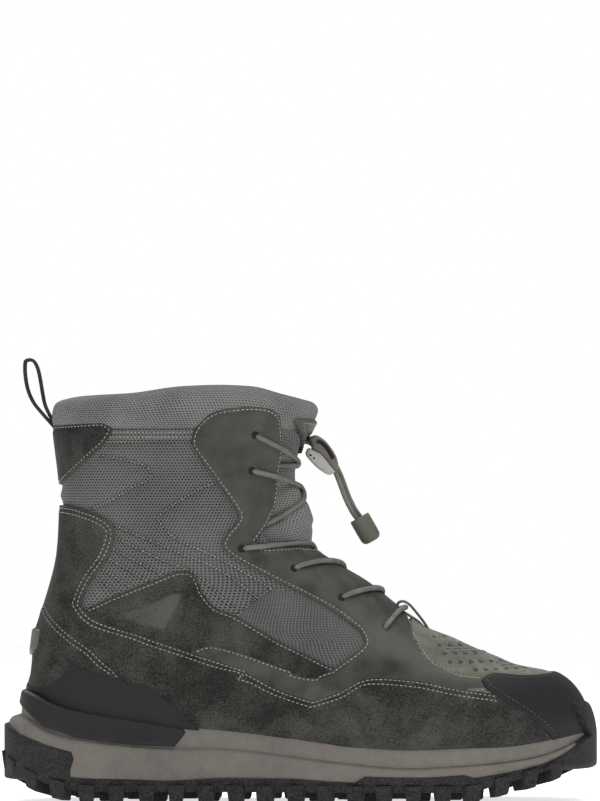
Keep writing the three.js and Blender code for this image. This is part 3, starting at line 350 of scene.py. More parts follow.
# Side outlines, runs of points that are shares of LENGTH and HEIGHT. Runs meet in corners.
QUARTER = [
    [[0.316, 0.361], [0.351, 0.379], [0.408, 0.359], [0.472, 0.325], [0.501, 0.306], [0.528, 0.301]],
    [[0.558, 0.325], [0.585, 0.352], [0.607, 0.381], [0.598, 0.415]],
    [[0.553, 0.463], [0.501, 0.504], [0.45, 0.541], [0.4, 0.58], [0.376, 0.606], [0.371, 0.623], [0.38, 0.65]],
    [[0.398, 0.684], [0.392, 0.708], [0.363, 0.769], [0.338, 0.82], [0.321, 0.858], [0.323, 0.89]],
    [[0.338, 0.921], [0.363, 0.943], [0.415, 0.953], [0.45, 0.948], [0.466, 0.926]],
    [[0.469, 0.861], [0.462, 0.79], [0.459, 0.723], [0.447, 0.674], [0.427, 0.628]],
    [[0.437, 0.613], [0.494, 0.613]],
    [[0.53, 0.601], [0.565, 0.567], [0.612, 0.524], [0.65, 0.48], [0.672, 0.455]],
    [[0.684, 0.427], [0.699, 0.383], [0.721, 0.339], [0.756, 0.313], [0.82, 0.298]],
    [[0.82, 0.267]],
    [[0.615, 0.242]],
    [[0.501, 0.213]],
    [[0.316, 0.327]],
]
FOXING = [
    [[-0.01, 0.718], [0.097, 0.718]],
    [[0.134, 0.708], [0.175, 0.684], [0.193, 0.652], [0.182, 0.593], [0.151, 0.526], [0.137, 0.478]],
    [[0.161, 0.442], [0.236, 0.405], [0.318, 0.364], [0.399, 0.325], [0.461, 0.278], [0.521, 0.249]],
    [[0.564, 0.269], [0.616, 0.301], [0.698, 0.295], [0.754, 0.279], [0.829, 0.262]],
    [[0.938, 0.145]],
    [[0.938, 0.05]],
    [[-0.01, 0.05]],
]
COUNTER = [
    [[-0.01, 0.546], [0.07, 0.492], [0.092, 0.449], [0.117, 0.412], [0.151, 0.375], [0.176, 0.34],
     [0.209, 0.296]],
    [[0.232, 0.267]],
    [[0.232, 0.1]],
    [[-0.01, 0.1]],
]
GUARD = [
    [[-0.01, 0.301], [0.043, 0.297], [0.065, 0.281], [0.086, 0.279], [0.101, 0.291], [0.115, 0.318]],
    [[0.131, 0.329], [0.151, 0.321], [0.209, 0.293], [0.254, 0.276], [0.296, 0.229], [0.336, 0.179]],
    [[0.336, 0.1]],
    [[-0.01, 0.1]],
]
ACCENT = [
    [[0.131, 0.456], [0.196, 0.499], [0.257, 0.534], [0.297, 0.556], [0.324, 0.549], [0.337, 0.508]],
    [[0.359, 0.47], [0.395, 0.448], [0.461, 0.392], [0.526, 0.346], [0.568, 0.315]],
    [[0.534, 0.242]],
    [[0.4, 0.267]],
    [[0.131, 0.388]],
]
HEEL_TAB = [
    [[-0.01, 0.907], [0.092, 0.909], [0.173, 0.915]],
    [[0.19, 0.897], [0.176, 0.863], [0.157, 0.837], [0.125, 0.795], [0.099, 0.76]],
    [[-0.01, 0.759]],
]
TOE_CAP = [
    [[0.798, 0.291], [0.815, 0.306], [0.871, 0.299], [0.931, 0.301]],
    [[1.04, 0.31]],
    [[1.04, 0.05]],
    [[0.924, 0.05]],
    [[0.915, 0.149], [0.889, 0.192], [0.841, 0.24], [0.807, 0.272]],
]
VAMP = [
    [[0.684, 0.582]],
    [[1.04, 0.582]],
    [[1.04, 0.267]],
    [[0.787, 0.242]],
    [[0.711, 0.291], [0.684, 0.388]],
]
BADGE = [
    [[-0.01, 0.419], [0.064, 0.419], [0.074, 0.407]],
    [[0.071, 0.376], [0.064, 0.359], [0.052, 0.335]],
    [[-0.01, 0.335]],
]
BALL_WRAP = [
    [[0.575, 0.045], [0.587, 0.051], [0.607, 0.07]],
    [[0.67, 0.068], [0.722, 0.069], [0.772, 0.074]],
    [[0.79, 0.063], [0.8, 0.045]],
]
OUTLINE_STEP = 2.2 * MM


def side_line(runs, closed=True, step=OUTLINE_STEP):
    """Points of a side outline in metres: a smooth curve through each run, corners between runs."""
    size = np.array([LENGTH, HEIGHT])
    points = [np.array(runs[0][0]) * size]
    for number, run in enumerate(runs):
        knots = [points[-1]] + [np.array(p) * size for p in (run[1:] if number == 0 else run)]
        framed = [knots[0]] + knots + [knots[-1]]
        for a, b, c, d in zip(framed, framed[1:], framed[2:], framed[3:]):
            count = max(1, round(float(np.linalg.norm(c - b)) / step))
            for t in (np.arange(count) + 1) / count:
                bend = (2 * a - 5 * b + 4 * c - d) * t * t + (3 * b - a - 3 * c + d) * t**3
                points.append(0.5 * (2 * b + (c - a) * t + bend))
    if closed:
        gap = points[0] - points[-1]
        count = max(1, round(float(np.linalg.norm(gap)) / step))
        points += [points[-1] + gap * t for t in (np.arange(count - 1) + 1) / count]
    return np.array(points)


class Form:
    """The upper's face as a surface of angle and height."""

    low = 3 * MM  # how far panels reach below the foam's rim

    def point(self, angle, z, out):
        return skin(angle, z, out)

    def ends(self, z):
        return LENGTH * PROFILE("back", z / HEIGHT), LENGTH * PROFILE("front", z / HEIGHT)

    def angle(self, x, z):
        return angle_at(x, z)

    def floor(self, x):
        return sole_height("rim", x) - self.low


class SoleSide:
    """The sole's side as a surface of angle and height; a section gives inset and lean."""

    def __init__(self, section):
        self.section = section

    def point(self, angle, z, out):
        angle, z = np.broadcast_arrays(np.asarray(angle, float), np.asarray(z, float))
        inset, lean = self.section(sole_edge(angle)[..., 0], z)
        flat = sole_loop(angle, inset - out, lean)
        return np.concatenate([flat, z[..., None]], -1)

    def ends(self, z):
        return np.full_like(z, PROUD), np.full_like(z, LENGTH - PROUD)

    def angle(self, x, z):
        return sole_angle(x)

    def floor(self, x):
        return np.full_like(x, -1.0)


def flat_outline(runs, side, surface):
    """An outline as angles and heights. side is outer, inner, heel or toe."""
    line = side_line(runs)
    line[:, 1] = np.maximum(line[:, 1], surface.floor(line[:, 0]))
    back, front = surface.ends(line[:, 1])
    if side in ("outer", "inner"):
        angles = on_side(surface.angle(line[:, 0], line[:, 1]), 1 if side == "outer" else -1)
        flat = np.stack([angles, line[:, 1]], -1)
    else:
        inside = line[:, 0] > back if side == "heel" else line[:, 0] < front
        start = next(n for n in range(len(line)) if inside[n] and not inside[n - 1])
        line = np.roll(line, -start, axis=0)
        count = int(np.argmin(np.roll(inside, -start))) if not inside.all() else len(line)
        angles = surface.angle(line[:count, 0], line[:count, 1])
        heights = line[:count, 1]
        pole = 0.0 if side == "heel" else math.pi
        ends = [[pole, heights[0]]], [[pole, heights[-1]]]
        flat = np.vstack([ends[0], np.stack([angles, heights], -1), ends[1]])
        mirrored = np.stack([2 * pole - flat[-2:0:-1, 0], flat[-2:0:-1, 1]], -1)
        flat = np.vstack([flat, mirrored])
    place = surface.point(flat[:, 0], flat[:, 1], np.zeros(len(flat)))
    apart = np.linalg.norm(place - np.roll(place, 1, axis=0), axis=1)
    return flat[apart > 0.6 * MM]


def inset_line(flat, surface, by):
    """An outline of angles and heights moved inwards over the surface."""
    zero = np.zeros(len(flat))
    place = surface.point(flat[:, 0], flat[:, 1], zero)
    before, after = np.roll(place, 1, axis=0), np.roll(place, -1, axis=0)
    da, dz = 0.01, 0.8 * MM
    across = (surface.point(flat[:, 0] + da, flat[:, 1], zero) - place) / da
    up = (surface.point(flat[:, 0], flat[:, 1] + dz, zero) - place) / dz
    normal = unit(np.cross(across, up))
    first = unit(np.cross(unit(place - before), normal))
    second = unit(np.cross(unit(after - place), normal))
    away = first + second
    reach = np.maximum(0.55, np.linalg.norm(away, axis=1) / 2)
    area = np.sum((flat[:, 0] - np.roll(flat[:, 0], 1)) * (flat[:, 1] + np.roll(flat[:, 1], 1)))
    turn = 1 if area > 0 else -1
    move = unit(away) * (by / reach)[:, None] * turn
    g11, g12, g22 = (across**2).sum(1), (across * up).sum(1), (up**2).sum(1)
    m1, m2 = (move * across).sum(1), (move * up).sum(1)
    det = g11 * g22 - g12**2
    return flat + np.stack([(g22 * m1 - g12 * m2) / det, (g11 * m2 - g12 * m1) / det], -1)


FLAT_SCALE = 20.0  # heights in the flat layout are drawn larger, to match the angles
BORDER = [0.3 * MM, 0.8 * MM, 1.5 * MM]  # rings along a panel's border


def patch(flat, surface, spacing, height):
    """A flat sheet cut to an outline, with rings along its border and a grid inside."""
    bm = bmesh.new()
    face = bm.faces.new([bm.verts.new((a, z * FLAT_SCALE, 0)) for a, z in flat])
    for width in BORDER:
        bmesh.ops.inset_individual(bm, faces=[face], thickness=0, depth=0)
        for vert, (a, z) in zip(face.verts, inset_line(flat, surface, width)):
            vert.co = (a, z * FLAT_SCALE, 0)
    low, high = flat.min(0), flat.max(0)
    levels = np.arange(low[1] + height, high[1], height)
    cuts = [((a, 0, 0), (1, 0, 0)) for a in np.arange(low[0] + spacing, high[0], spacing)]
    cuts += [((0, z * FLAT_SCALE, 0), (0, 1, 0)) for z in levels]
    for place, direction in cuts:
        everything = bm.verts[:] + bm.edges[:] + bm.faces[:]
        bmesh.ops.bisect_plane(bm, geom=everything, dist=1e-6, plane_co=place, plane_no=direction)
    return bm


def line_distance(points, start, end):
    """Distance of each point from the nearest of some straight stretches."""
    along = end - start
    length = np.maximum((along**2).sum(1), 1e-12)
    best = np.full(len(points), 1.0)
    for first in range(0, len(points), 4000):
        part = points[first : first + 4000, None] - start[None]
        t = np.clip((part * along).sum(2) / length, 0, 1)
        gap = np.linalg.norm(part - t[..., None] * along, axis=2)
        best[first : first + 4000] = gap.min(1)
    return best


def border_distance(points, line):
    return line_distance(points, line, np.roll(line, -1, axis=0))


def even_odd(points, line):
    """Which points of the side view lie inside a closed line."""
    inside = np.zeros(len(points), bool)
    for a, b in zip(line, np.roll(line, -1, axis=0)):
        spans = (a[1] > points[:, 1]) != (b[1] > points[:, 1])
        slope = (b[0] - a[0]) / (b[1] - a[1] if b[1] != a[1] else 1)
        inside ^= spans & (points[:, 0] < a[0] + (points[:, 1] - a[1]) * slope)
    return inside


def coordinates(bm):
    return np.array([vert.co for vert in bm.verts])


def place_all(bm, points):
    for vert, point in zip(bm.verts, points):
        vert.co = point


def mark(bm, name, values):
    """Writes a number for each vertex, which the finishes read."""
    layer = bm.verts.layers.float.get(name) or bm.verts.layers.float.new(name)
    for vert, value in zip(bm.verts, values):
        vert[layer] = value
    return layer


def lay_out(bm, u, v):
    """Writes where each vertex lies on the flat cloth, in metres."""
    layer = bm.loops.layers.uv.verify()
    for vert, a, b in zip(bm.verts, u, v):
        for loop in vert.link_loops:
            loop[layer].uv = (a, b)


ARC_ANGLES = np.linspace(-math.pi, 2 * math.pi, 600)
ARC = walked(form(ARC_ANGLES, np.full(600, 0.7 * HEIGHT)))


def arc(angle):
    """Way round the shaft from the heel to an angle."""
    return np.interp(angle, ARC_ANGLES, ARC)


def close_up(bm, dist=0.01 * MM, capped=False):
    """Joins the ends that meet and, if capped, fills the holes that are left."""
    bmesh.ops.remove_doubles(bm, verts=bm.verts[:], dist=dist)
    if capped:
        bmesh.ops.holes_fill(bm, edges=[edge for edge in bm.edges if edge.is_boundary], sides=0)


def add_back(bm, layers, back_point):
    """Closes a sheet with a back, whose points follow from its angles and heights."""
    made = bmesh.ops.extrude_face_region(bm, geom=bm.faces[:])["geom"]
    backs = [part for part in made if isinstance(part, bmesh.types.BMVert)]
    angle, z = (np.array([vert[layer] for vert in backs]) for layer in layers)
    for vert, point in zip(backs, back_point(angle, z) + ORIGIN):
        vert.co = point
    return [part for part in made if isinstance(part, bmesh.types.BMFace)]


def sheet_solid(bm, surface, angle, z, out, under):
    """Gives a flat patch its place on a surface, and a closed back that lies under it."""
    layers = [mark(bm, "angle", angle), mark(bm, "height", z)]
    lay_out(bm, arc(angle), z)
    place_all(bm, surface.point(angle, z, out) + ORIGIN)
    close_up(bm, 0.04 * MM)
    for face in add_back(bm, layers, lambda a, h: surface.point(a, h, np.full(len(a), under))):
        face.material_index = 1


def finish_piece(name, bm, finish, nodes=(), crease=50, back=None):
    """An object of the mesh, riding on the boot."""
    bmesh.ops.recalc_face_normals(bm, faces=bm.faces[:])
    mesh = bpy.data.meshes.new(name)
    bm.to_mesh(mesh)
    bm.free()
    mesh.materials.append(finish)
    mesh.materials.append(back or finish)
    mesh.shade_smooth()
    mesh.set_sharp_from_angle(angle=math.radians(crease))
    made = bpy.data.objects.new(name, mesh)
    bpy.context.scene.collection.objects.link(made)
    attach(made, "root")
    if nodes:
        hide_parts(*nodes)
    return made


def node(tree, kind, out=0, inputs=None, **settings):
    """A shader node with its settings and inputs, and the output that is wanted of it."""
    made = tree.nodes.new("ShaderNode" + kind)
    for name, value in settings.items():
        setattr(made, name, value)
    for name, value in (inputs or {}).items():
        if isinstance(value, bpy.types.NodeSocket):
            tree.links.new(value, made.inputs[name])
        else:
            made.inputs[name].default_value = value
    return made.outputs[out]


def sum_up(tree, kind, a, b=0.0):
    return node(tree, "Math", operation=kind, inputs={0: a, 1: b})


def stretch(tree, value, low, high):
    """Opens a narrow band of values to the whole way from 0 to 1."""
    inputs = {"Value": value, "From Min": low, "From Max": high}
    return node(tree, "MapRange", interpolation_type="SMOOTHSTEP", inputs=inputs)


def clouds(scale, detail=3.0, drawn=(1, 1, 1)):
    """Soft patches or fine grain, by their number in a metre."""

    def build(tree):
        place = node(tree, "TexCoord", "Object")
        place = node(tree, "Mapping", inputs={"Vector": place, "Scale": drawn})
        value = node(tree, "TexNoise", inputs={"Vector": place, "Scale": scale, "Detail": detail})
        return stretch(tree, value, 0.3, 0.7)

    return build


def gaps(across, up, low=0.16, high=0.42):
    """Round gaps of a mesh or a knit, in rows set half a gap apart."""

    def build(tree):
        scale = (1 / across, 1 / up, 0)
        place = node(tree, "VectorMath", operation="MULTIPLY", inputs={0: node(tree, "UVMap"), 1: scale})
        split = place.node.id_data.nodes.new("ShaderNodeSeparateXYZ")
        tree.links.new(place, split.inputs[0])
        row = sum_up(tree, "FLOOR", split.outputs[1])
        shift = sum_up(tree, "MULTIPLY", sum_up(tree, "MODULO", row, 2.0), 0.5)
        u = sum_up(tree, "SUBTRACT", sum_up(tree, "FRACT", sum_up(tree, "ADD", split.outputs[0], shift)), 0.5)
        v = sum_up(tree, "SUBTRACT", sum_up(tree, "FRACT", split.outputs[1]), 0.5)
        inputs = {0: node(tree, "CombineXYZ", inputs={0: u, 1: v})}
        away = node(tree, "VectorMath", "Value", operation="LENGTH", inputs=inputs)
        return stretch(tree, away, low, high)

    return build


def strands(pitch, lean):
    """Threads that lie side by side at a slant, such as a braid's or a twill's."""

    def build(tree):
        turned = node(tree, "Mapping", inputs={"Vector": node(tree, "UVMap"), "Rotation": (0, 0, lean)})
        inputs = {"Vector": turned, "Scale": 1 / pitch / 3.183, "Distortion": 0.0}
        return node(tree, "TexWave", 1, inputs=inputs)

    return build


def written(name):
    """A number that the mesh carries; it only adds to the tone."""

    def build(tree):
        value = stretch(tree, node(tree, "Attribute", "Fac", attribute_name=name), 0, 1)
        return sum_up(tree, "ADD", value, 0.5)

    return build


def either(first, second, name):
    """One pattern, or another where the mesh says so."""

    def build(tree):
        inputs = {0: node(tree, "Attribute", "Fac", attribute_name=name), 2: first(tree), 3: second(tree)}
        return node(tree, "Mix", inputs=inputs)

    return build


def finish(name, dark, light, roughness, patterns, coat=0.0, sheen=0.0, shine=0.25, middle=0.5):
    """A material between two tones. Each pattern has its share of the tone, of the relief in
    millimetres and of the roughness."""
    material = bpy.data.materials.new(name)
    material.use_nodes = True
    tree = material.node_tree
    shader = tree.nodes["Principled BSDF"]
    shader.inputs["Specular IOR Level"].default_value = shine
    shader.inputs["Coat Weight"].default_value = coat
    shader.inputs["Coat Roughness"].default_value = 0.35
    shader.inputs["Sheen Weight"].default_value = sheen
    tone, rough, normal = None, None, None
    for pattern, share, relief, matt in patterns:
        value = pattern(tree)
        centred = sum_up(tree, "SUBTRACT", value, 0.5)
        part = sum_up(tree, "MULTIPLY", centred, share)
        tone = sum_up(tree, "ADD", part, tone if tone else middle)
        if relief:
            inputs = {"Height": value, "Distance": relief * MM, "Strength": 1.0}
            if normal:
                inputs["Normal"] = normal
            normal = node(tree, "Bump", inputs=inputs)
        if matt:
            part = sum_up(tree, "MULTIPLY", centred, matt)
            rough = sum_up(tree, "ADD", part, rough if rough else roughness)
    tone = node(tree, "Clamp", inputs={0: tone})
    inputs = {0: tone, 6: (*dark, 1), 7: (*light, 1)}
    tree.links.new(node(tree, "Mix", 2, data_type="RGBA", inputs=inputs), shader.inputs["Base Color"])
    if normal:
        tree.links.new(normal, shader.inputs["Normal"])
    if rough:
        tree.links.new(rough, shader.inputs["Roughness"])
    shader.inputs["Roughness"].default_value = roughness
    return material


# Lighter tone along panel borders: partly wear, partly a painted highlight standing in for light on the rounded
# borders
EDGE_WEAR_AND_HIGHLIGHT = written("edge")
LEATHER = finish(
    "smooth_leather", (0.008, 0.0085, 0.006), (0.062, 0.064, 0.054), 0.52,
    [
        (clouds(26), 0.5, 0, 0.2),
        (clouds(110), 0.3, 0.05, 0.1),
        (clouds(1500, 2), 0.14, 0.03, 0),
        (clouds(60, 2, (1, 1, 0.15)), 0.18, 0, 0.1),
        (EDGE_WEAR_AND_HIGHLIGHT, 0.5, 0, 0),
    ],
    coat=0.04,
)
GRAINED_LEATHER = finish(
    "grained_leather", (0.004, 0.0045, 0.0035), (0.064, 0.065, 0.056), 0.74,
    [
        (clouds(22), 0.45, 0, 0),
        (clouds(90), 0.3, 0.04, 0.1),
        (clouds(1250, 2), 0.55, 0.07, 0.1),
        (EDGE_WEAR_AND_HIGHLIGHT, 0.5, 0, 0),
        # Raised wedge lighter the higher it stands: partly its own lighter leather, partly a painted highlight
        # on its top
        (written("raised"), 0.5, 0, 0),
    ],
    middle=0.3,
)
NUBUCK = finish(
    "nubuck", (0.05, 0.052, 0.037), (0.155, 0.158, 0.122), 0.92,
    [
        (clouds(30), 0.4, 0, 0),
        (clouds(140), 0.3, 0.04, 0),
        (clouds(1600, 2), 0.35, 0.05, 0),
        (EDGE_WEAR_AND_HIGHLIGHT, 0.3, 0, 0),
    ],
    sheen=0.12,
)
# Dark tone of the pressed triangles: partly the pressed nubuck's own darker colour, partly painted shade
# standing in for their sunken hollows
PRESSED_NUBUCK_AND_SHADE = finish(
    "pressed_nubuck_and_painted_shade", (0.024, 0.026, 0.019), (0.078, 0.081, 0.064), 0.9,
    [(clouds(200), 0.5, 0, 0), (clouds(1600, 2), 0.3, 0.04, 0)],
)
FABRIC = finish(
    "mesh_and_knit", (0.004, 0.004, 0.004), (0.112, 0.113, 0.111), 0.88,
    [
        (either(gaps(1.68 * MM, 1.4 * MM), gaps(1.05 * MM, 0.85 * MM, 0.1, 0.5), "knit"), 0.95, 0.25, 0),
        (clouds(30), 0.24, 0, 0),
        (clouds(1900, 2), 0.24, 0.05, 0),
        # Darker along the quilted seams: painted shade in the seams' grooves
        (written("seam"), -0.35, 0, 0),
    ],
    sheen=0.1,
)
CUFF_FABRIC = finish(
    "twill", (0.006, 0.0065, 0.006), (0.165, 0.168, 0.164), 0.88,
    [
        (gaps(1.5 * MM, 1.15 * MM, 0.12, 0.46), 0.85, 0.22, 0),
        (clouds(36), 0.25, 0, 0),
        (clouds(1900, 2), 0.2, 0.04, 0),
    ],
    sheen=0.1,
)
LINING = finish(
    "brushed_lining", (0.02, 0.021, 0.021), (0.07, 0.072, 0.07), 0.95,
    [(clouds(40), 0.4, 0, 0), (clouds(700, 3), 0.5, 0.12, 0)],
    sheen=0.2,
)
OUTSOLE_RUBBER = finish(
    "textured_rubber", (0.003, 0.003, 0.003), (0.03, 0.03, 0.03), 0.8,
    [(clouds(30), 0.25, 0, 0), (clouds(950, 2), 0.85, 0.2, 0.1)],
)
GUARD_RUBBER = finish(
    "smooth_rubber", (0.009, 0.009, 0.0095), (0.023, 0.023, 0.024), 0.6,
    [(clouds(24), 0.4, 0, 0.15), (clouds(1400, 2), 0.3, 0.025, 0), (EDGE_WEAR_AND_HIGHLIGHT, 0.3, 0, 0)],
    shine=0.16,
)
FOAM = finish(
    "midsole_foam", (0.082, 0.074, 0.066), (0.158, 0.144, 0.128), 0.72,
    [(clouds(18), 0.35, 0, 0.1), (clouds(160), 0.2, 0.03, 0), (clouds(1300, 2), 0.25, 0.04, 0)],
)
WEBBING = finish(
    "webbing", (0.008, 0.008, 0.009), (0.04, 0.04, 0.042), 0.85,
    [(strands(1.2 * MM, 0.7), 0.5, 0.15, 0), (strands(1.2 * MM, -0.7), 0.5, 0.1, 0), (clouds(120), 0.3, 0, 0)],
)
CORD = finish(
    "braided_cord", (0.055, 0.054, 0.048), (0.2, 0.196, 0.175), 0.8,
    [
        (strands(0.9 * MM, 0.75), 0.45, 0.1, 0),
        (strands(0.9 * MM, -0.75), 0.35, 0.08, 0),
        (clouds(150), 0.25, 0, 0),
    ],
)


def thread(name, dark, light, roughness):
    return finish(name, dark, light, roughness, [(clouds(700), 0.7, 0.03, 0), (clouds(60), 0.3, 0, 0)])


def plastic(name, dark, light, roughness, broad=60):
    patterns = [(clouds(broad), 0.4, 0, 0.15), (clouds(1300, 2), 0.3, 0.02, 0)]
    return finish(name, dark, light, roughness, patterns)


THREAD = thread("thread", (0.17, 0.17, 0.14), (0.38, 0.38, 0.31), 0.75)
DARK_THREAD = thread("dark_thread", (0.025, 0.026, 0.027), (0.085, 0.087, 0.09), 0.7)
LOCK_PLASTIC = plastic("lock_plastic", (0.085, 0.076, 0.062), (0.145, 0.13, 0.107), 0.5)
BASE_PLASTIC = plastic("pale_plastic", (0.25, 0.26, 0.24), (0.38, 0.395, 0.365), 0.45)
END_PLASTIC = plastic("cord_end_plastic", (0.058, 0.058, 0.046), (0.105, 0.105, 0.086), 0.5, broad=70)
# Near-black finish that paints the shade inside holes and slots
HOLE_SHADE = finish("painted_hole_shade", (0.004, 0.004, 0.004), (0.016, 0.016, 0.015), 0.9, [(clouds(900), 0.5, 0.02, 0)])
FINISHES = {
    "leather": LEATHER,
    "nubuck": NUBUCK,
    "guard_rubber": GUARD_RUBBER,
    "cuff_fabric": CUFF_FABRIC,
    "midsole_foam": FOAM,
    "outsole_rubber": OUTSOLE_RUBBER,
    "lining": LINING,
}
UPPER_FACE = Form()


def rounded(distance, radius):
    """Share of a panel's thickness at a distance from its border."""
    t = np.clip(distance / radius, 0, 1)
    return np.sqrt(1 - (1 - t) ** 2)


ROUND = 1.1 * MM  # radius of a panel's border
WEAR_AND_HIGHLIGHT_REACH = 0.7 * MM  # how far the lighter border tone reaches in from a border: partly wear, partly a painted highlight on the rounded border
WEDGE = 1.2 * MM  # height of the triangle raised out of the accent panel
SUNK = 0.5 * MM  # how deep a panel's border goes into what lies under it
SHELL = 1.2 * MM  # how far a panel's back lies under the form


def cuff_swell(z):
    """How far the cuff pushes out what lies over it."""
    return 1.6 * MM * smooth((z / HEIGHT - SEAM) / 0.04)


def cut_out(outline, side, surface, spacing=0.03, height=2.4 * MM):
    """A patch of an outline, with the angles, heights and border distances of its points."""
    flat = flat_outline(outline, side, surface)
    bm = patch(flat, surface, spacing, height)
    drawn = coordinates(bm)
    angle, z = drawn[:, 0], drawn[:, 1] / FLAT_SCALE
    line = surface.point(flat[:, 0], flat[:, 1], np.zeros(len(flat)))
    distance = border_distance(surface.point(angle, z, np.zeros(len(angle))), line)
    # edge: where the finishes paint the lighter border tone, partly wear and partly painted highlight
    mark(bm, "edge", np.exp(-distance / WEAR_AND_HIGHLIGHT_REACH))
    return bm, angle, z, distance


def panel(name, outline, side, layer, slot, nodes, over=None, rows=(), cloth=None, **steps):
    """A leather or rubber panel over the upper's fabric; rows tell how far in its seams lie."""
    bm, angle, z, distance = cut_out(outline, side, UPPER_FACE, **steps)
    rise = over(angle, z) if over else np.zeros(len(angle))
    # raised: the wedge's height, which the finish turns into its own lighter tone plus a painted highlight on
    # its top
    mark(bm, "raised", rise / WEDGE)
    top = OUTER_FACE[layer] + cuff_swell(z) + rise
    for row in rows:
        top = top - 0.5 * MM * bell(distance - row, 0.6 * MM)
    sheet_solid(bm, UPPER_FACE, angle, z, mix(-SUNK, top, rounded(distance, ROUND)), -SHELL)
    return finish_piece(name, bm, cloth or FINISHES[slot], nodes)


def grid(columns, rows):
    """A flat grid one unit wide and high, from its lower left corner."""
    bm = bmesh.new()
    bmesh.ops.create_grid(bm, x_segments=columns, y_segments=rows, size=0.5)
    bmesh.ops.translate(bm, verts=bm.verts[:], vec=(0.5, 0.5, 0))
    return bm


# Sewn lines of the ankle's padding, shares of LENGTH and HEIGHT
QUILTING = [
    [[0.17, 0.835], [0.202, 0.825], [0.235, 0.814], [0.249, 0.803], [0.252, 0.786], [0.244, 0.772],
     [0.222, 0.758], [0.19, 0.73], [0.154, 0.705]],
    [[0.358, 0.767], [0.334, 0.754], [0.296, 0.721], [0.273, 0.698], [0.265, 0.682], [0.273, 0.663],
     [0.296, 0.633], [0.331, 0.61], [0.366, 0.587], [0.408, 0.553], [0.454, 0.514]],
    [[0.192, 0.667], [0.239, 0.638], [0.303, 0.599], [0.343, 0.577], [0.387, 0.541], [0.43, 0.492]],
    [[0.192, 0.64], [0.255, 0.594], [0.306, 0.565], [0.336, 0.541], [0.397, 0.456]],
    [[0.188, 0.611], [0.249, 0.565], [0.276, 0.543]],
    [[0.182, 0.587], [0.224, 0.553], [0.249, 0.531]],
    [[0.171, 0.563], [0.198, 0.538], [0.225, 0.514]],
    [[0.161, 0.541], [0.185, 0.519], [0.195, 0.5]],
]
WINDOW_SEAM = [[0.454, 0.516], [0.424, 0.485], [0.393, 0.446]]
KNIT_WINDOW = [[[0.454, 0.516]], [[0.424, 0.485], [0.393, 0.446]], [[0.5, 0.3]], [[0.66, 0.3]], [[0.66, 0.45]]]
CUFF_ROWS = [0.902, 0.89, 0.878, 0.866]
CUFF_ROW_REACH = (0.165, 0.34)
PUFF = 1.6 * MM  # how far the padding swells between its seams
PUFF_REACH = 3.4 * MM


def stretches(lines):
    """Starts and ends of the straight bits of several lines."""
    return np.vstack([line[:-1] for line in lines]), np.vstack([line[1:] for line in lines])


QUILT_LINES = [side_line([run], closed=False) for run in QUILTING + [WINDOW_SEAM]]
CUFF_LINES = [np.array([[x * LENGTH, z * HEIGHT] for x in CUFF_ROW_REACH]) for z in CUFF_ROWS]
SEWN_LINES = QUILT_LINES + CUFF_LINES[::3]
PANELS = (QUARTER, FOXING, ACCENT, HEEL_TAB)
PANEL_LINES = [side_line(runs + [[runs[0][0]]], closed=False) for runs in PANELS]


def fabric_out(angle, z):
    """Padding of the fabric: swollen between its seams and the panels that hold it down."""
    place = form(angle, z)[:, [0, 2]]
    sewn = line_distance(place, *stretches(SEWN_LINES))
    held = line_distance(place, *stretches(PANEL_LINES))
    free = ~np.any([even_odd(place, side_line(runs)) for runs in PANELS], axis=0)
    swell = PUFF * free * (1 - bell(np.minimum(sewn, held), PUFF_REACH))
    return swell - 0.5 * MM * bell(sewn, 0.8 * MM), sewn


def make_upper():
    """The fabric bootie: a sheet round the form, open at the throat, with the wall's thickness."""
    bm = grid(340, 118)
    drawn = coordinates(bm)
    turn, share = drawn[:, 0] * 2 - 1, drawn[:, 1]
    base = sole_height("bed", LENGTH * (1 - np.cos(turn * math.pi)) / 2)
    z = mix(base, SEAM * HEIGHT + 2 * MM, share)
    level = z / HEIGHT
    back_off = 0.02 + 0.07 * bell(level - 0.64, 0.035)  # the fabric ends inside the facing's edge
    edge_angle = np.interp(level, THROAT_LEVELS, THROAT_ANGLES) - back_off
    opening = mix(math.pi, edge_angle, smooth((level - THROAT_FOOT) / 0.04 + 1))
    still = 0.55  # share of the way round that keeps its place beside the throat
    pulled = still * math.pi + (np.abs(turn) - still) / (1 - still) * (opening - still * math.pi)
    angle = np.sign(turn) * np.where(np.abs(turn) < still, np.abs(turn) * math.pi, pulled)
    out, sewn = fabric_out(angle, z)
    edge = smooth((1 - np.abs(turn)) / 0.02) * smooth((1 - share) / 0.02)  # no swell at the borders
    # seam: where the fabric is drawn darker, painted shade along the sewn grooves
    mark(bm, "seam", bell(sewn, 0.9 * MM))
    mark(bm, "knit", even_odd(form(angle, z)[:, [0, 2]], side_line(KNIT_WINDOW)).astype(float))
    sheet_solid(bm, UPPER_FACE, angle, z, out * edge, -WALL)
    return finish_piece("upper_fabric", bm, FABRIC, ["upper"], back=LINING)


RING_CLOTH = 60 * MM  # cloth's length once round a ring's section


def ring_piece(name, section, slot, nodes, around, rows=40, capped=False):
    """A ring round the boot. section gives points for angles and shares of the way round the section."""
    bm = grid(around, rows)
    drawn = coordinates(bm)
    angle = drawn[:, 0] * 2 * math.pi
    lay_out(bm, arc(angle), drawn[:, 1] * RING_CLOTH)
    place_all(bm, section(angle, drawn[:, 1]) + ORIGIN)
    close_up(bm, capped=capped)
    return finish_piece(name, bm, FINISHES[slot], nodes, crease=60)


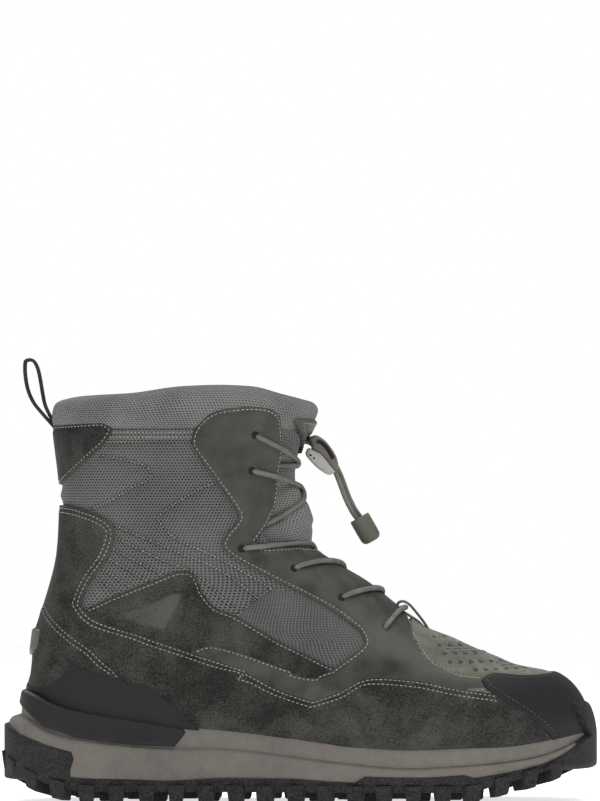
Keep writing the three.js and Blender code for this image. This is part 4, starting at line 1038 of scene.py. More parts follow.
def through(knots, t, closed=False):
    """A smooth curve through rows of numbers, at shares of its way."""
    knots = np.array(knots, float)
    count = len(knots) if closed else len(knots) - 1
    at = np.clip(t, 0, 1) * count
    n = np.minimum(at.astype(int), count - 1)
    s = (at - n)[:, None]
    a, b, c, d = (knots[k % count if closed else np.clip(k, 0, count)] for k in (n - 1, n, n + 1, n + 2))
    bend = (2 * a - 5 * b + 4 * c - d) * s * s
    return 0.5 * (2 * b + (c - a) * s + bend + (3 * b - a - 3 * c + d) * s**3)


CUFF_THICKNESS = 7 * MM
CUFF_SECTION = [[0, 0.07], [0.35, 0.343], [0.8, 0.286], [1, -0.114], [0.97, -0.43], [0.4, -0.657], [0, -0.514]]
CUFF_FOLDS = [  # soft folds across the cuff: angle from the heel, width as an angle, depth mm
    [0.5, 0.1, 0.5],
    [1.15, 0.12, 0.4],
    [1.9, 0.1, 0.5],
    [2.3, 0.07, 0.9],
    [2.5, 0.06, 0.8],
    [2.72, 0.06, 1.0],
]


def cuff_section(angle, share):
    """The padded cuff: its outer face, top and lining, with folds across it."""
    knots = through(CUFF_SECTION, share, closed=True)
    x = form(angle, np.full(len(angle), HEIGHT * 0.95))[:, 0]
    top = HEIGHT * COLLAR("top", x / LENGTH)
    z = mix(SEAM * HEIGHT, top, knots[:, 0])
    side = np.minimum(angle, 2 * math.pi - angle)
    folds = sum(d * bell(side - a - 0.12 * knots[:, 0], w) for a, w, d in CUFF_FOLDS)
    soft = np.clip(knots[:, 0], 0, 1) * np.where(knots[:, 1] > -0.2, 1, 0.4)
    return skin(angle, z, knots[:, 1] * CUFF_THICKNESS - folds * soft * MM)


# The midsole's side: share of the way from joint to groove to rim (0, 1, 2), inset mm, heel lean mm
MIDSOLE_SIDE = [
    [0.0, 0.9, 0.0],
    [0.2, 0.35, 0.2],
    [0.4, 0.1, 0.5],
    [0.7, 0.3, 1.4],
    [0.9, 0.9, 2.6],
    [1.0, 2.5, 6.2],
    [1.1, 2.1, 7.0],
    [1.5, 1.7, 7.6],
    [1.85, 2.4, 8.4],
    [2.0, 3.6, 9.0],
]


def midsole_section(angle, share):
    """The foam's side from its foot over the groove to its rim, and the ledge inside it."""
    knots = through(MIDSOLE_SIDE, np.clip(share * 1.25, 0, 1))
    x = sole_edge(angle)[:, 0]
    rise, inset, lean = knots.T
    low, middle, high = (sole_height(line, x) for line in ("joint", "groove", "rim"))
    z = np.where(rise < 1, mix(low, middle, rise), mix(middle, high, rise - 1))
    inward = np.clip(share - 0.8, 0, 1) / 0.2
    z = z - inward**2 * 6 * MM
    flat = sole_loop(angle, (inset + inward * 9) * MM, lean * MM)
    return np.concatenate([flat, z[:, None]], -1)


LUG_DEPTH = 6 * MM
LUG_RISE = 9.5 * MM
LUG_PITCH = 15 * MM
LUG_WIDTHS = [0.207 * LUG_PITCH, 0.3 * LUG_PITCH]  # half widths at the tread and at the shoulder
LUG_REACH = 14 * MM
INNER_LUGS = table(
    ["along", "spread", "length", "width"],
    [
        [0.09, 0.08, 0.6, 0.104], [0.3, 0.08, 0.6, 0.104], [0.55, 0.12, 0.6, 0.123],
        [0.72, 0.165, 0.667, 0.132], [0.88, 0.12, 0.6, 0.123],
    ],
)
INNER_ROWS = 10


def sheet_section(angle, share):
    """The outsole's rubber sheet: its underside, edge and top."""
    knots = through([[0, 1.2], [0.5, 0.5], [1, 0.2]], share)
    x = sole_edge(angle)[:, 0]
    z = mix(tread(x) + LUG_DEPTH, sole_height("joint", x), knots[:, 0])
    flat = sole_loop(angle, knots[:, 1] * MM)
    return np.concatenate([flat, z[:, None]], -1)


def add_block(bm, corner):
    """A block whose corners are named by their signs along, across and up."""
    made = bmesh.ops.create_cube(bm, size=1)
    for vert in made["verts"]:
        vert.co = corner(*(1 if part > 0 else -1 for part in vert.co)) + ORIGIN


def edge_lug(bm, angle):
    """A tread block on the sole's edge: its foot follows the tread and its shoulder climbs the side."""
    edge, normal = sole_edge(np.array(angle)), sole_normal(np.array(angle))
    along = np.array([-normal[1], normal[0]])

    def corner(side, face, level):
        foot = level < 0
        out = (PROUD * (0.3 if foot else 1)) if face > 0 else -LUG_REACH - (0 if foot else 1 * MM)
        x, y = edge + along * side * LUG_WIDTHS[0 if foot else 1] + normal * out
        top = min(tread(x) + LUG_RISE, sole_height("joint", x) - 1 * MM)
        return np.array([x, y, float(tread(x) if foot else top)])

    add_block(bm, corner)


def inner_lug(bm, x, y, length, width, short=0.0):
    """A tread block under the sole; short is how far its foot stays off the floor."""

    def corner(along, across, level):
        spread = 0.42 if level < 0 else 0.5
        at = x + along * length * spread
        rise = short if level < 0 else LUG_DEPTH + 1 * MM
        return np.array([at, y + across * width * spread, float(tread(at)) + rise])

    add_block(bm, corner)


def lug_angles():
    """Angles of the edge lugs, one pitch apart along the sole's outline, from the heel."""
    fine = np.arange(1440) * 2 * math.pi / 1440
    line = sole_edge(fine)
    since = LUG_PITCH / 2  # way since the last lug
    found = []
    for angle, step in zip(fine, np.linalg.norm(np.roll(line, -1, axis=0) - line, axis=1)):
        since += step
        if since >= LUG_PITCH:
            since -= LUG_PITCH
            found.append(float(angle))
    return found


def make_lugs():
    """The tread: lugs along the edge, two rows inside, and a lower one behind each inner lug."""
    bm = bmesh.new()
    for angle in lug_angles():
        edge_lug(bm, angle)
    for n in range(INNER_ROWS):
        share = mix(0.09, 0.88, n / (INNER_ROWS - 1))
        spread = BALL_WIDTH * INNER_LUGS("spread", share)
        middle = BALL_WIDTH * PLAN("centre", share)
        shift = spread * (0.35 if n % 2 else -0.35)
        length, width = LUG_PITCH * INNER_LUGS("length", share), BALL_WIDTH * INNER_LUGS("width", share)
        for side in (-1, 1):
            x, y = share * LENGTH, middle + side * spread
            inner_lug(bm, x, y + shift, length, width)
            inner_lug(bm, x + LUG_PITCH, y - shift, length * 1.2, width * 0.7, short=1.3 * MM)
    bmesh.ops.bevel(bm, geom=bm.edges[:], offset=0.9 * MM, segments=2, profile=0.5, affect="EDGES", material=-1)
    return finish_piece("tread_lugs", bm, OUTSOLE_RUBBER, crease=40)


def upright(x, z):
    return np.zeros_like(z), np.zeros_like(z)


def bumper(x, z):
    """The toe bumper leans in over the toe cap."""
    inset = np.interp(z / HEIGHT, [0.17, 0.2, 0.222, 0.243, 0.3], np.array([0, 1.0, 2.5, 4.6, 8.0]) * MM)
    return inset, np.zeros_like(z)


def band_lean(x, z):
    """The heel stabiliser follows the midsole's step and its lean."""
    groove = sole_height("groove", x)
    rise = np.clip((z - groove) / (sole_height("rim", x) - groove), -0.3, 1.3)
    return (0.4 + 0.8 * rise) * MM, (6.6 + 1.4 * rise) * MM


def wrap(name, middle, reach, level, section, proud, slot, nodes=(), depth=2.4 * MM, round_off=1.2 * MM):
    """A piece that wraps the sole's heel or toe. reach gives its half angle for shares of its height,
    level its heights for places along the sole and such shares."""
    surface = SoleSide(section)
    bm = grid(170, 22)
    drawn = coordinates(bm)
    turn, share = np.sin((drawn[:, 0] - 0.5) * math.pi), (1 - np.cos(drawn[:, 1] * math.pi)) / 2
    angle, end = middle + turn * reach(share), middle + np.sign(turn) * reach(share)
    here, zero = sole_edge(angle), np.zeros(len(angle))
    z, foot, top = (level(here[:, 0], part) for part in (share, zero, zero + 1))
    distance = np.minimum(np.linalg.norm(here - sole_edge(end), axis=1), np.minimum(z - foot, top - z))
    # edge: lighter border tone, partly wear and partly painted highlight
    mark(bm, "edge", np.exp(-distance / WEAR_AND_HIGHLIGHT_REACH))
    sheet_solid(bm, surface, angle, z, mix(-depth * 0.8, proud, rounded(distance, round_off)), -depth)
    return finish_piece(name, bm, FINISHES[slot], nodes)


def heights(low, top):
    """Heights between two lines of the side view, for places along the boot and shares."""
    low, top = np.array(low), np.array(top)

    def level(x, share):
        below, above = (np.interp(x / LENGTH, *line.T) * HEIGHT for line in (low, top))
        return mix(below, above, share)

    return level


def reach_to(ends, middle=0.0):
    """Half angle of a wrap whose ends lie at places along the boot, for shares of its height."""
    shares, places = np.array(ends).T

    def reach(share):
        fine = np.linspace(0, 1, 60)
        angles = [abs(float(sole_angle(x * LENGTH)) - middle) for x in np.interp(fine, shares, places)]
        return np.interp(share, fine, angles)

    return reach


HEEL_WRAP_TOP = [[0, 0.194], [0.01, 0.187], [0.032, 0.166], [0.077, 0.143], [0.1, 0.134], [0.128, 0.124]]
BAND_FOOT = [
    [0, 0.24], [0.02, 0.22], [0.06, 0.183], [0.125, 0.158], [0.19, 0.146], [0.232, 0.14], [0.311, 0.135],
]
BAND_TOP = [
    [0, 0.272], [0.02, 0.266], [0.04, 0.257], [0.067, 0.241], [0.104, 0.226], [0.146, 0.216], [0.211, 0.202],
    [0.276, 0.187], [0.311, 0.178],
]
BUMPER_ENDS = [[0, 0.9], [0.52, 0.985], [0.613, 0.974], [0.83, 0.968], [1, 0.966]]


def ball_wrap(side):
    """The rubber that climbs the sole's side beside the ball of the foot."""
    surface = SoleSide(upright)
    bm, angle, z, distance = cut_out(BALL_WRAP, side, surface)
    depth = 2.4 * MM
    sheet_solid(bm, surface, angle, z, mix(-depth * 0.8, 0.6 * MM, rounded(distance, 1.2 * MM)), -depth)
    return finish_piece(f"outsole_ball_wrap_{side}", bm, OUTSOLE_RUBBER)


def tongue_section(drawn):
    """The tongue as a flat ring at each height, thin at both sides, and where it lies as cloth."""
    around, share = drawn[:, 0] * 2 * math.pi, drawn[:, 1]
    turn = -np.cos(around)
    front = (1 + np.sign(np.sin(around)) * np.abs(np.sin(around)) ** 0.5) / 2
    level = mix(*TONGUE_RANGE, share)
    angle = math.pi + turn * TONGUE("reach", level)
    depth = (1 - front) * TONGUE_THICKNESS
    folds = sum(d * bell(level - h - s * np.abs(turn), w) for h, s, w, d in TONGUE_FOLDS)
    z = level * HEIGHT
    return skin(angle, z, tongue_out(angle, level) - depth - folds * MM), (arc(angle), z)


TONGUE_FOLDS = [  # creases across the tongue: height, slant, width, depth mm
    [0.655, 0.05, 0.008, 0.8],
    [0.735, -0.08, 0.01, 0.9],
    [0.77, 0.02, 0.012, 0.5],
    [0.6, -0.02, 0.008, 0.4],
]


def make_tongue():
    bm = grid(160, 120)
    points, (u, v) = tongue_section(coordinates(bm))
    lay_out(bm, u, v)
    place_all(bm, points + ORIGIN)
    close_up(bm, capped=True)
    return finish_piece("tongue_pad", bm, CUFF_FABRIC, ["tongue"])


def insole_section(angle, share):
    """The insole's rim and top, a little inside the upper's wall."""
    x = LENGTH * (1 - np.cos(angle)) / 2
    rise = through([[0.3, 2.2], [0.9, 0.6], [3.6, 0.2], [4.3, 1.0]], share)
    z = sole_height("bed", x) + rise[:, 0] * MM
    return skin(angle, z, -WALL - (0.9 + rise[:, 1]) * MM)


RAISED_TRIANGLE = [[[0.195, 0.451]], [[0.292, 0.509]], [[0.311, 0.509]], [[0.277, 0.412]], [[0.229, 0.427]]]


def raised_triangle(angle, z):
    """The wedge pressed up out of the accent panel, highest at its front."""
    place = form(angle, z)[:, [0, 2]]
    line = side_line(RAISED_TRIANGLE)
    inside = even_odd(place, line)
    slope = 0.45 + 0.55 * smooth((place[:, 0] / LENGTH - 0.2) / 0.09)
    distance = border_distance(place, line)
    groove = -0.35 * MM * np.exp(-distance / (0.8 * MM))
    return np.where(inside, WEDGE * slope * smooth(distance / (1.8 * MM)), groove)


make_upper()
make_tongue()
ring_piece("cuff_pad", cuff_section, "cuff_fabric", ["collar_cuff"], around=260)
ring_piece("insole_pad", insole_section, "lining", ["insole"], around=120, rows=8, capped=True)
ring_piece("midsole_foam", midsole_section, "midsole_foam", ["midsole"], around=240, rows=50, capped=True)
ring_piece("outsole_sheet", sheet_section, "outsole_rubber", ["outsole"], around=200, rows=6, capped=True)
make_lugs()
wrap(
    "outsole_heel_wrap", 0.0, reach_to([[0, 0.118], [0.4, 0.121], [0.75, 0.127], [1, 0.122]]),
    heights([[0, 0.055], [1, 0.055]], HEEL_WRAP_TOP), upright, 0.5 * MM, "outsole_rubber",
)
ball_wrap("outer")
ball_wrap("inner")
wrap(
    "outsole_toe_bumper", math.pi, reach_to(BUMPER_ENDS, math.pi),
    heights([[0, 0.08], [1, 0.08]], [[0, 0.243], [1, 0.243]]), bumper, PROUD,
    "outsole_rubber", depth=3 * MM, round_off=2.4 * MM,
)
wrap(
    "heel_stabiliser", 0.0, reach_to([[0, 0.292], [0.5, 0.305], [0.85, 0.311], [1, 0.307]]),
    heights(BAND_FOOT, BAND_TOP), band_lean, 0.6 * MM, "guard_rubber", ["heel_band"], round_off=1.6 * MM,
)
for side, node_side in (("outer", "lateral"), ("inner", "medial")):
    panel(
        f"panel_accent_{side}", ACCENT, side, "accent", "leather", [f"accent_{node_side}"],
        over=raised_triangle, rows=[1.4 * MM], cloth=GRAINED_LEATHER, spacing=0.012, height=1.1 * MM,
    )
    panel(
        f"panel_quarter_{side}", QUARTER, side, "quarter", "leather", [f"quarter_{node_side}"], rows=[1.5 * MM],
    )
panel("panel_vamp", VAMP, "toe", "vamp", "nubuck", ["vamp"], spacing=0.02, height=0.7 * MM)
for name, outline, layer, node_name, row in (
    ("panel_heel_tab", HEEL_TAB, "tab", "heel_tab", 1.5 * MM),
    ("panel_foxing", FOXING, "foxing", "foxing", 1.5 * MM),
    ("panel_counter", COUNTER, "counter", "heel_counter", 1.6 * MM),
):
    panel(name, outline, "heel", layer, "leather", [node_name], rows=[row], cloth=GRAINED_LEATHER)
panel("panel_toe_cap", TOE_CAP, "toe", "toe", "guard_rubber", ["toe_cap"], height=1.4 * MM)
panel("panel_heel_guard", GUARD, "heel", "guard", "guard_rubber", ["heel_guard"])
panel("panel_badge", BADGE, "heel", "badge", "guard_rubber", ["heel_badge"], cloth=END_PLASTIC)


def turned_to(along, across, up, place):
    """Sizes in millimetres and directions of a small shape, and its place on the boot."""
    columns = np.stack([along, across, up], 1) * MM
    return Matrix([[*row, p] for row, p in zip(columns, place + ORIGIN)] + [[0, 0, 0, 1]])


def add_stitches(bm, line, out, pitch=2.3 * MM, size=(1.75, 0.55, 0.42), keep=None):
    """Low stitches along a line of angles and heights, each a small drawn-out bead."""
    way = walked(skin(line[:, 0], line[:, 1], out))
    at = np.arange(pitch / 2, way[-1], pitch)
    if len(at) < 3:
        return
    angle, z, out = (np.interp(at, way, values) for values in (line[:, 0], line[:, 1], out))
    place = skin(angle, z, out)
    along = unit(np.gradient(place, axis=0))
    normal = unit(skin(angle, z, out + 1 * MM) - place)
    shown = np.ones(len(at), bool) if keep is None else keep(form(angle, z)[:, [0, 2]])
    for n in np.flatnonzero(shown):
        across = np.cross(normal[n], along[n])
        matrix = turned_to(along[n] * size[0], across * size[1], normal[n] * size[2], place[n])
        bmesh.ops.create_icosphere(bm, subdivisions=1, radius=0.5, matrix=matrix)


def clear_of(covers):
    """Tells which places of the side view are above the foam and not under these panels."""
    lines = [side_line(cover) for cover in covers]

    def shown(place):
        over_rim = place[:, 1] > sole_height("rim", place[:, 0]) + 1.5 * MM
        return over_rim & ~np.any([even_odd(place, line) for line in lines], axis=0)

    return shown


def panel_seam(bm, outline, side, layer, inset, covers):
    """A row of stitches inside a panel's border, left out where other panels cover it."""
    flat = flat_outline(outline, side, UPPER_FACE)
    line = inset_line(flat, UPPER_FACE, inset)
    line = np.vstack([line, line[:1]])
    out = OUTER_FACE[layer] + cuff_swell(line[:, 1]) - (0.2 if inset < 1.7 * MM else 0) * MM
    add_stitches(bm, line, out, keep=clear_of(covers))


def fabric_seam(bm, line, size):
    """A row of stitches on the fabric of both sides."""
    for side in (1, -1):
        fine = np.stack([on_side(angle_at(line[:, 0], line[:, 1]), side), line[:, 1]], -1)
        out, _ = fabric_out(fine[:, 0], fine[:, 1])
        add_stitches(bm, fine, out + 0.1 * MM, pitch=1.9 * MM, size=size, keep=clear_of(PANELS))


UNDER_TOE_CAP = [[[0.8, 0.236]], [[0.84, 0.243]], [[1.0, 0.26]], [[1.0, 0.0]], [[0.8, 0.0]]]


def make_stitches():
    bm = bmesh.new()
    for side in ("outer", "inner"):
        panel_seam(bm, QUARTER, side, "quarter", 1.5 * MM, [FOXING, TOE_CAP])
        panel_seam(bm, ACCENT, side, "accent", 1.4 * MM, [QUARTER, FOXING])
    for inset in (1.5 * MM, 3.7 * MM):
        panel_seam(bm, FOXING, "heel", "foxing", inset, [COUNTER, GUARD, TOE_CAP, UNDER_TOE_CAP])
    for inset in (1.6 * MM, 3.9 * MM):
        panel_seam(bm, COUNTER, "heel", "counter", inset, [GUARD])
    panel_seam(bm, HEEL_TAB, "heel", "tab", 1.5 * MM, [])
    panel_seam(bm, BADGE, "heel", "counter", -1.2 * MM, [GUARD])
    finish_piece("stitches_panels", bm, THREAD)
    bm = bmesh.new()
    for line in QUILT_LINES:
        fabric_seam(bm, line, (1.3, 0.68, 0.6))
    for line in CUFF_LINES:
        fine = np.stack([np.linspace(*line[:, 0], 30), np.full(30, line[0, 1])], -1)
        fabric_seam(bm, fine, (1.5, 0.6, 0.5))
    finish_piece("stitches_quilting", bm, THREAD)
    bm = bmesh.new()
    panel_seam(bm, TOE_CAP, "toe", "toe", 3 * MM, [])
    finish_piece("stitches_toe", bm, DARK_THREAD)


make_stitches()


PRESSED_START, PRESSED_STEP = [0.722, 0.392], [0.0172, 0.0195]  # first triangle and steps, shares
PRESSED_SIZE = [2.5, 1.9, 0.25]  # half width, half height and thickness of the largest, mm
CREST_GAP = 0.08  # angle kept free at both sides of the toe's middle line


def make_pressed_pattern():
    """Rows of small pressed triangles on both sides of the vamp, smaller towards the ends of a row. Their dark
    tone is partly the pressed nubuck's own, partly painted shade of the pressed hollows.
    """
    bm = bmesh.new()
    keep = clear_of([QUARTER, FOXING, TOE_CAP])
    for row in range(6):
        z = HEIGHT * (PRESSED_START[1] - PRESSED_STEP[1] * row)
        for n in range(17):
            x = LENGTH * (PRESSED_START[0] + PRESSED_STEP[0] * n + (PRESSED_STEP[0] / 2 if row % 2 else 0))
            if not keep(np.array([[x, z], [x + 3 * MM, z - 1 * MM], [x - 3 * MM, z - 1 * MM]])).all():
                continue
            scale = 1 - 0.55 * abs(x / LENGTH - 0.785) / 0.09
            for side in (1, -1):
                angle = on_side(float(angle_at(x, z)), side)
                if scale > 0.35 and abs(angle - math.pi) > CREST_GAP:
                    add_pyramid(bm, angle, z, scale)
    return finish_piece("vamp_pressing", bm, PRESSED_NUBUCK_AND_SHADE, crease=5)


def add_pyramid(bm, angle, z, scale):
    a, h = np.array([angle, angle + 0.01, angle]), np.array([z, z, z + 1 * MM])
    middle, ahead, above = skin(a, h, np.full(3, OUTER_FACE["vamp"] + 0.3 * MM))
    up = unit(above - middle)
    normal = unit(np.cross(ahead - middle, up))
    along = np.cross(up, normal)
    wide, high, thick = PRESSED_SIZE
    matrix = turned_to(along * wide * scale, up * high * scale, normal * thick, middle)
    turned = matrix @ Matrix.Rotation(math.pi / 2, 4, "Z")
    bmesh.ops.create_cone(bm, cap_ends=True, segments=3, radius1=1, radius2=0.75, depth=1, matrix=turned)


make_pressed_pattern()


def evenly(points, step):
    """The same line with points one step apart."""
    way = walked(points)
    at = np.linspace(0, way[-1], max(3, round(way[-1] / step) + 1))
    return np.stack([np.interp(at, way, points[:, k]) for k in range(points.shape[1])], -1)


def smooth_path(knots, step):
    """A smooth line through some points, with points one step apart."""
    return evenly(through(knots, np.linspace(0, 1, len(knots) * 12)), step)


def sweep(path, wide, thick, side=None, around=12, square=1.0, bm=None):
    """A bar along a path: round, or flat like a strap with side across it."""
    along = unit(np.gradient(path, axis=0))
    across = np.empty_like(path)
    last = np.array(side if side is not None else np.cross(along[0], [0.3, 0.2, 1.0]), float)
    for n, direction in enumerate(along):
        last = unit(last - direction * (last @ direction))
        across[n] = last
    up = np.cross(along, across)
    made = grid(len(path) - 1, around)
    drawn = coordinates(made)
    n = np.rint(drawn[:, 0] * (len(path) - 1)).astype(int)
    turn = drawn[:, 1] * 2 * math.pi
    shape = [np.sign(f(turn)) * np.abs(f(turn)) ** square for f in (np.cos, np.sin)]
    points = path[n] + across[n] * (wide / 2 * shape[0])[:, None] + up[n] * (thick / 2 * shape[1])[:, None]
    lay_out(made, walked(path)[n], drawn[:, 1] * math.pi * (wide + thick) / 2)
    place_all(made, points + ORIGIN)
    close_up(made, 0.005 * MM, capped=True)
    if bm is None:
        return made
    spare = bpy.data.meshes.new("spare")
    made.to_mesh(spare)
    made.free()
    bm.from_mesh(spare)
    bpy.data.meshes.remove(spare)
    return bm


def faces_of(*names):
    """A finder for the faces of some finished pieces."""
    bm = bmesh.new()
    for name in names:
        bm.from_mesh(bpy.data.objects[name].data)
    found = BVHTree.FromBMesh(bm)
    bm.free()
    return found


# Lacing: each crossing runs from an eyelet over the tongue's crest to the far facing, where it
# dives under the edge. Shares of LENGTH and HEIGHT in the side view.
CROSSINGS = [
    {"eye": [0.424, 0.885], "crest": [0.504, 0.817], "dive": [0.462, 0.808]},
    {"eye": [0.418, 0.798], "crest": [0.507, 0.752], "dive": [0.455, 0.67]},
    {"eye": [0.403, 0.611], "crest": [0.531, 0.604], "dive": [0.516, 0.592]},
    {"eye": [0.489, 0.56], "crest": [0.571, 0.555], "dive": [0.575, 0.542]},
    {"eye": [0.568, 0.49], "crest": [0.642, 0.495], "dive": [0.64, 0.475]},
]
BAR_EYE = [0.642, 0.418]
BAR_THROUGH = [0.6775, 0.4675]
ALL_FACES = faces_of(
    "tongue_pad", "panel_quarter_outer", "panel_quarter_inner", "upper_fabric", "cuff_pad", "panel_vamp"
)
TONGUE_FACES = faces_of("tongue_pad")


def side_angle(place, side):
    return on_side(float(angle_at(place[0] * LENGTH, place[1] * HEIGHT)), side)


FEELER = 30 * MM  # how far out and in a cord feels for the faces under it
CORD_HEIGHT = LACE / 2 + 0.1 * MM  # a cord's middle over the face it lies on


def lay_taut(angles, levels, faces, ends_out):
    """A cord pulled straight between its ends and held up by the faces under it."""
    z = levels * HEIGHT
    normals = unit(skin(angles, z, np.full(len(z), 1 * MM)) - skin(angles, z, np.zeros(len(z))))
    points = skin(angles, z, np.full(len(z), 3 * MM))

    def lift(n):
        far = Vector(points[n] + ORIGIN + normals[n] * FEELER)
        hit = faces.ray_cast(far, Vector(-normals[n]), 2 * FEELER)[0]
        if hit is None:
            return
        over = (points[n] + ORIGIN - np.array(hit)) @ normals[n]
        if over < CORD_HEIGHT:
            points[n] += normals[n] * (CORD_HEIGHT - over)

    for n in (0, len(points) - 1):
        points[n] = skin(angles[n], z[n], -8 * MM)  # deep inside, so that lift finds the face
        lift(n)
        points[n] += normals[n] * ends_out[0 if n == 0 else 1]
    for _ in range(90):
        points[1:-1] = (points[:-2] + points[2:]) / 2
        for n in range(1, len(points) - 1):
            lift(n)
    return points


def strand(route, side):
    """One strand of a crossing, from the eyelet of one side to the far side's edge."""
    start, end = side_angle(route["eye"], side), side_angle(route["dive"], -side)
    eye, crest, dive = (route[name][1] for name in ("eye", "crest", "dive"))
    t = np.linspace(0, 1, 18)
    first = lay_taut(mix(start, math.pi, t), mix(eye, crest, t), ALL_FACES, (-0.9 * MM, 0))
    t = np.linspace(0, 1, 14)
    second = lay_taut(mix(math.pi, end, t), mix(crest, dive, t), TONGUE_FACES, (0, -0.4 * MM))
    hole = skin(start, eye * HEIGHT, -0.5 * MM)
    tail = [skin(mix(math.pi, end, 1.12), dive * HEIGHT, -3 * MM)]
    path = np.vstack([[hole], first, second[1:], tail])
    for _ in range(3):
        path[1:-1] = (path[:-2] + 2 * path[1:-1] + path[2:]) / 4
    return smooth_path(path, 1.2 * MM)


def side_place(place, y=0.0):
    """A place of the side view, in metres from the heel end."""
    return np.array([place[0] * LENGTH, y, place[1] * HEIGHT])


def make_laces():
    """The crossings, two strands each, and the bar at the lacing's foot."""
    for number, route in enumerate(CROSSINGS):
        bm = bmesh.new()
        for side in (1, -1):
            path = strand(route, side)
            if side < 0:
                path[:, 2] += 0.2 * MM
            sweep(path, LACE, LACE, bm=bm, around=10)
        finish_piece(f"lace_{number + 1}", bm, CORD, [f"lace_cross_{number + 1}"])
    middle = BALL_WIDTH * PLAN("centre", BAR_THROUGH[0])
    halves = []
    for side in (1, -1):
        eye = side_angle(BAR_EYE, side)
        hole = skin(eye, BAR_EYE[1] * HEIGHT, 0.2 * MM)
        leave = skin(eye, BAR_EYE[1] * HEIGHT, OUTER_FACE["quarter"] + LACE * 0.45)
        inner = [side_place(BAR_THROUGH, middle - side * 15 * MM * share) for share in (0.55, 0.25)]
        lift = mix(leave, inner[0], 0.5) + np.array([0.5 * LACE, 0, LACE])
        halves.append([hole, leave, lift] + inner)
    bm = sweep(smooth_path(np.array(halves[0] + halves[1][::-1]), 1.2 * MM), LACE, LACE, around=10)
    finish_piece("lace_foot", bm, CORD, ["lace_bar"])


make_laces()


def make_eyelet_holes():
    """Dark discs under the cords where they leave the facings, painted shade standing in for the punched holes.
    """
    bm = bmesh.new()
    for place in [route["eye"] for route in CROSSINGS] + [BAR_EYE]:
        for side in (1, -1):
            angle, z = side_angle(place, side), place[1] * HEIGHT
            middle = skin(angle, z, OUTER_FACE["quarter"] + 0.12 * MM)
            normal = unit(skin(angle, z, 5 * MM) - skin(angle, z, 0.0))
            turned = Vector(normal).to_track_quat("Z", "Y").to_matrix().to_4x4()
            matrix = Matrix.Translation(Vector(middle + ORIGIN)) @ turned
            bmesh.ops.create_cone(
                bm, cap_ends=True, segments=18, radius1=2.15 * MM, radius2=1.7 * MM, depth=0.35 * MM,
                matrix=matrix,
            )
    return finish_piece("eyelet_holes", bm, HOLE_SHADE)


make_eyelet_holes()


def ribbon(name, knots, width, thick, middle, cloth, nodes):
    """A flat strap along a line of the side view."""
    path = np.array([side_place(place, middle) for place in knots])
    bm = sweep(smooth_path(path, 0.9 * MM), width, thick, side=[0, 1, 0], around=20, square=0.35)
    return finish_piece(name, bm, cloth, nodes, crease=70)


VAMP_LOOP = [
    [0.7175, 0.4125], [0.7085, 0.4325], [0.6967, 0.4545], [0.6852, 0.4735], [0.6758, 0.4818], [0.6675, 0.4805],
    [0.6645, 0.4735], [0.6678, 0.4638], [0.682, 0.45], [0.7, 0.4328], [0.712, 0.413],
]
PULL_LOOP = [
    [0.0875, 0.905], [0.067, 0.9385], [0.0527, 0.9645], [0.0432, 0.996], [0.0388, 1.0325], [0.0388, 1.061],
    [0.0423, 1.0665], [0.049, 1.0675], [0.0545, 1.062], [0.06, 1.046], [0.064, 1.021], [0.0688, 0.9805],
    [0.0737, 0.9525], [0.089, 0.908],
]
VAMP_LOOP_WIDTH = 15 * MM
PULL_LOOP_WIDTH = 13 * MM
VAMP_MIDDLE = BALL_WIDTH * PLAN("centre", 0.686)
ribbon("vamp_lace_loop", VAMP_LOOP, VAMP_LOOP_WIDTH, 1.3 * MM, VAMP_MIDDLE, NUBUCK, ["vamp_loop"])
ribbon("heel_pull_loop", PULL_LOOP, PULL_LOOP_WIDTH, 1.7 * MM, 0.0, WEBBING, ["pull_loop"])


SHIELD_THICKNESS = 1.9 * MM


def under_shield(level):
    """How far out the shield's underside lies: on the tongue, and on the cuff above its seam."""
    on_cuff = smooth((level - 0.882) / 0.018)
    return mix(TONGUE_THICKNESS * TONGUE("bulge", level), 0.36 * CUFF_THICKNESS, on_cuff)


def shield_reach(edges, levels):
    """Half angles that the shield spans, from its edge in the side view."""
    return np.array([math.pi - float(angle_at(x * LENGTH, h * HEIGHT)) for x, h in zip(edges, levels)])


def make_tongue_tab():
    """The leather shield at the tongue's top."""
    levels, edges = [0.842, 0.856, 0.88, 0.905, 0.921, 0.928], [0.507, 0.503, 0.497, 0.489, 0.484, 0.488]
    bm = grid(60, 44)
    drawn = coordinates(bm)
    turn, level = drawn[:, 0] * 2 - 1, mix(levels[0], levels[-1], drawn[:, 1])
    angle = math.pi + turn * np.interp(level, levels, shield_reach(edges, levels))
    z = level * HEIGHT
    border = np.minimum((1 - np.abs(turn)) * 12 * MM, np.minimum(drawn[:, 1], 1 - drawn[:, 1]) * 18 * MM)
    # edge: lighter border tone, partly wear and partly painted highlight
    mark(bm, "edge", np.exp(-border / WEAR_AND_HIGHLIGHT_REACH))
    out = under_shield(level) + mix(0.1 * MM, SHIELD_THICKNESS, rounded(border, ROUND))
    layers = [mark(bm, "angle", angle), mark(bm, "height", z)]
    place_all(bm, skin(angle, z, out) + ORIGIN)
    add_back(bm, layers, lambda a, h: skin(a, h, under_shield(h / HEIGHT) - 0.4 * MM))
    return finish_piece("tongue_shield", bm, LEATHER, ["tongue_tab"])


make_tongue_tab()


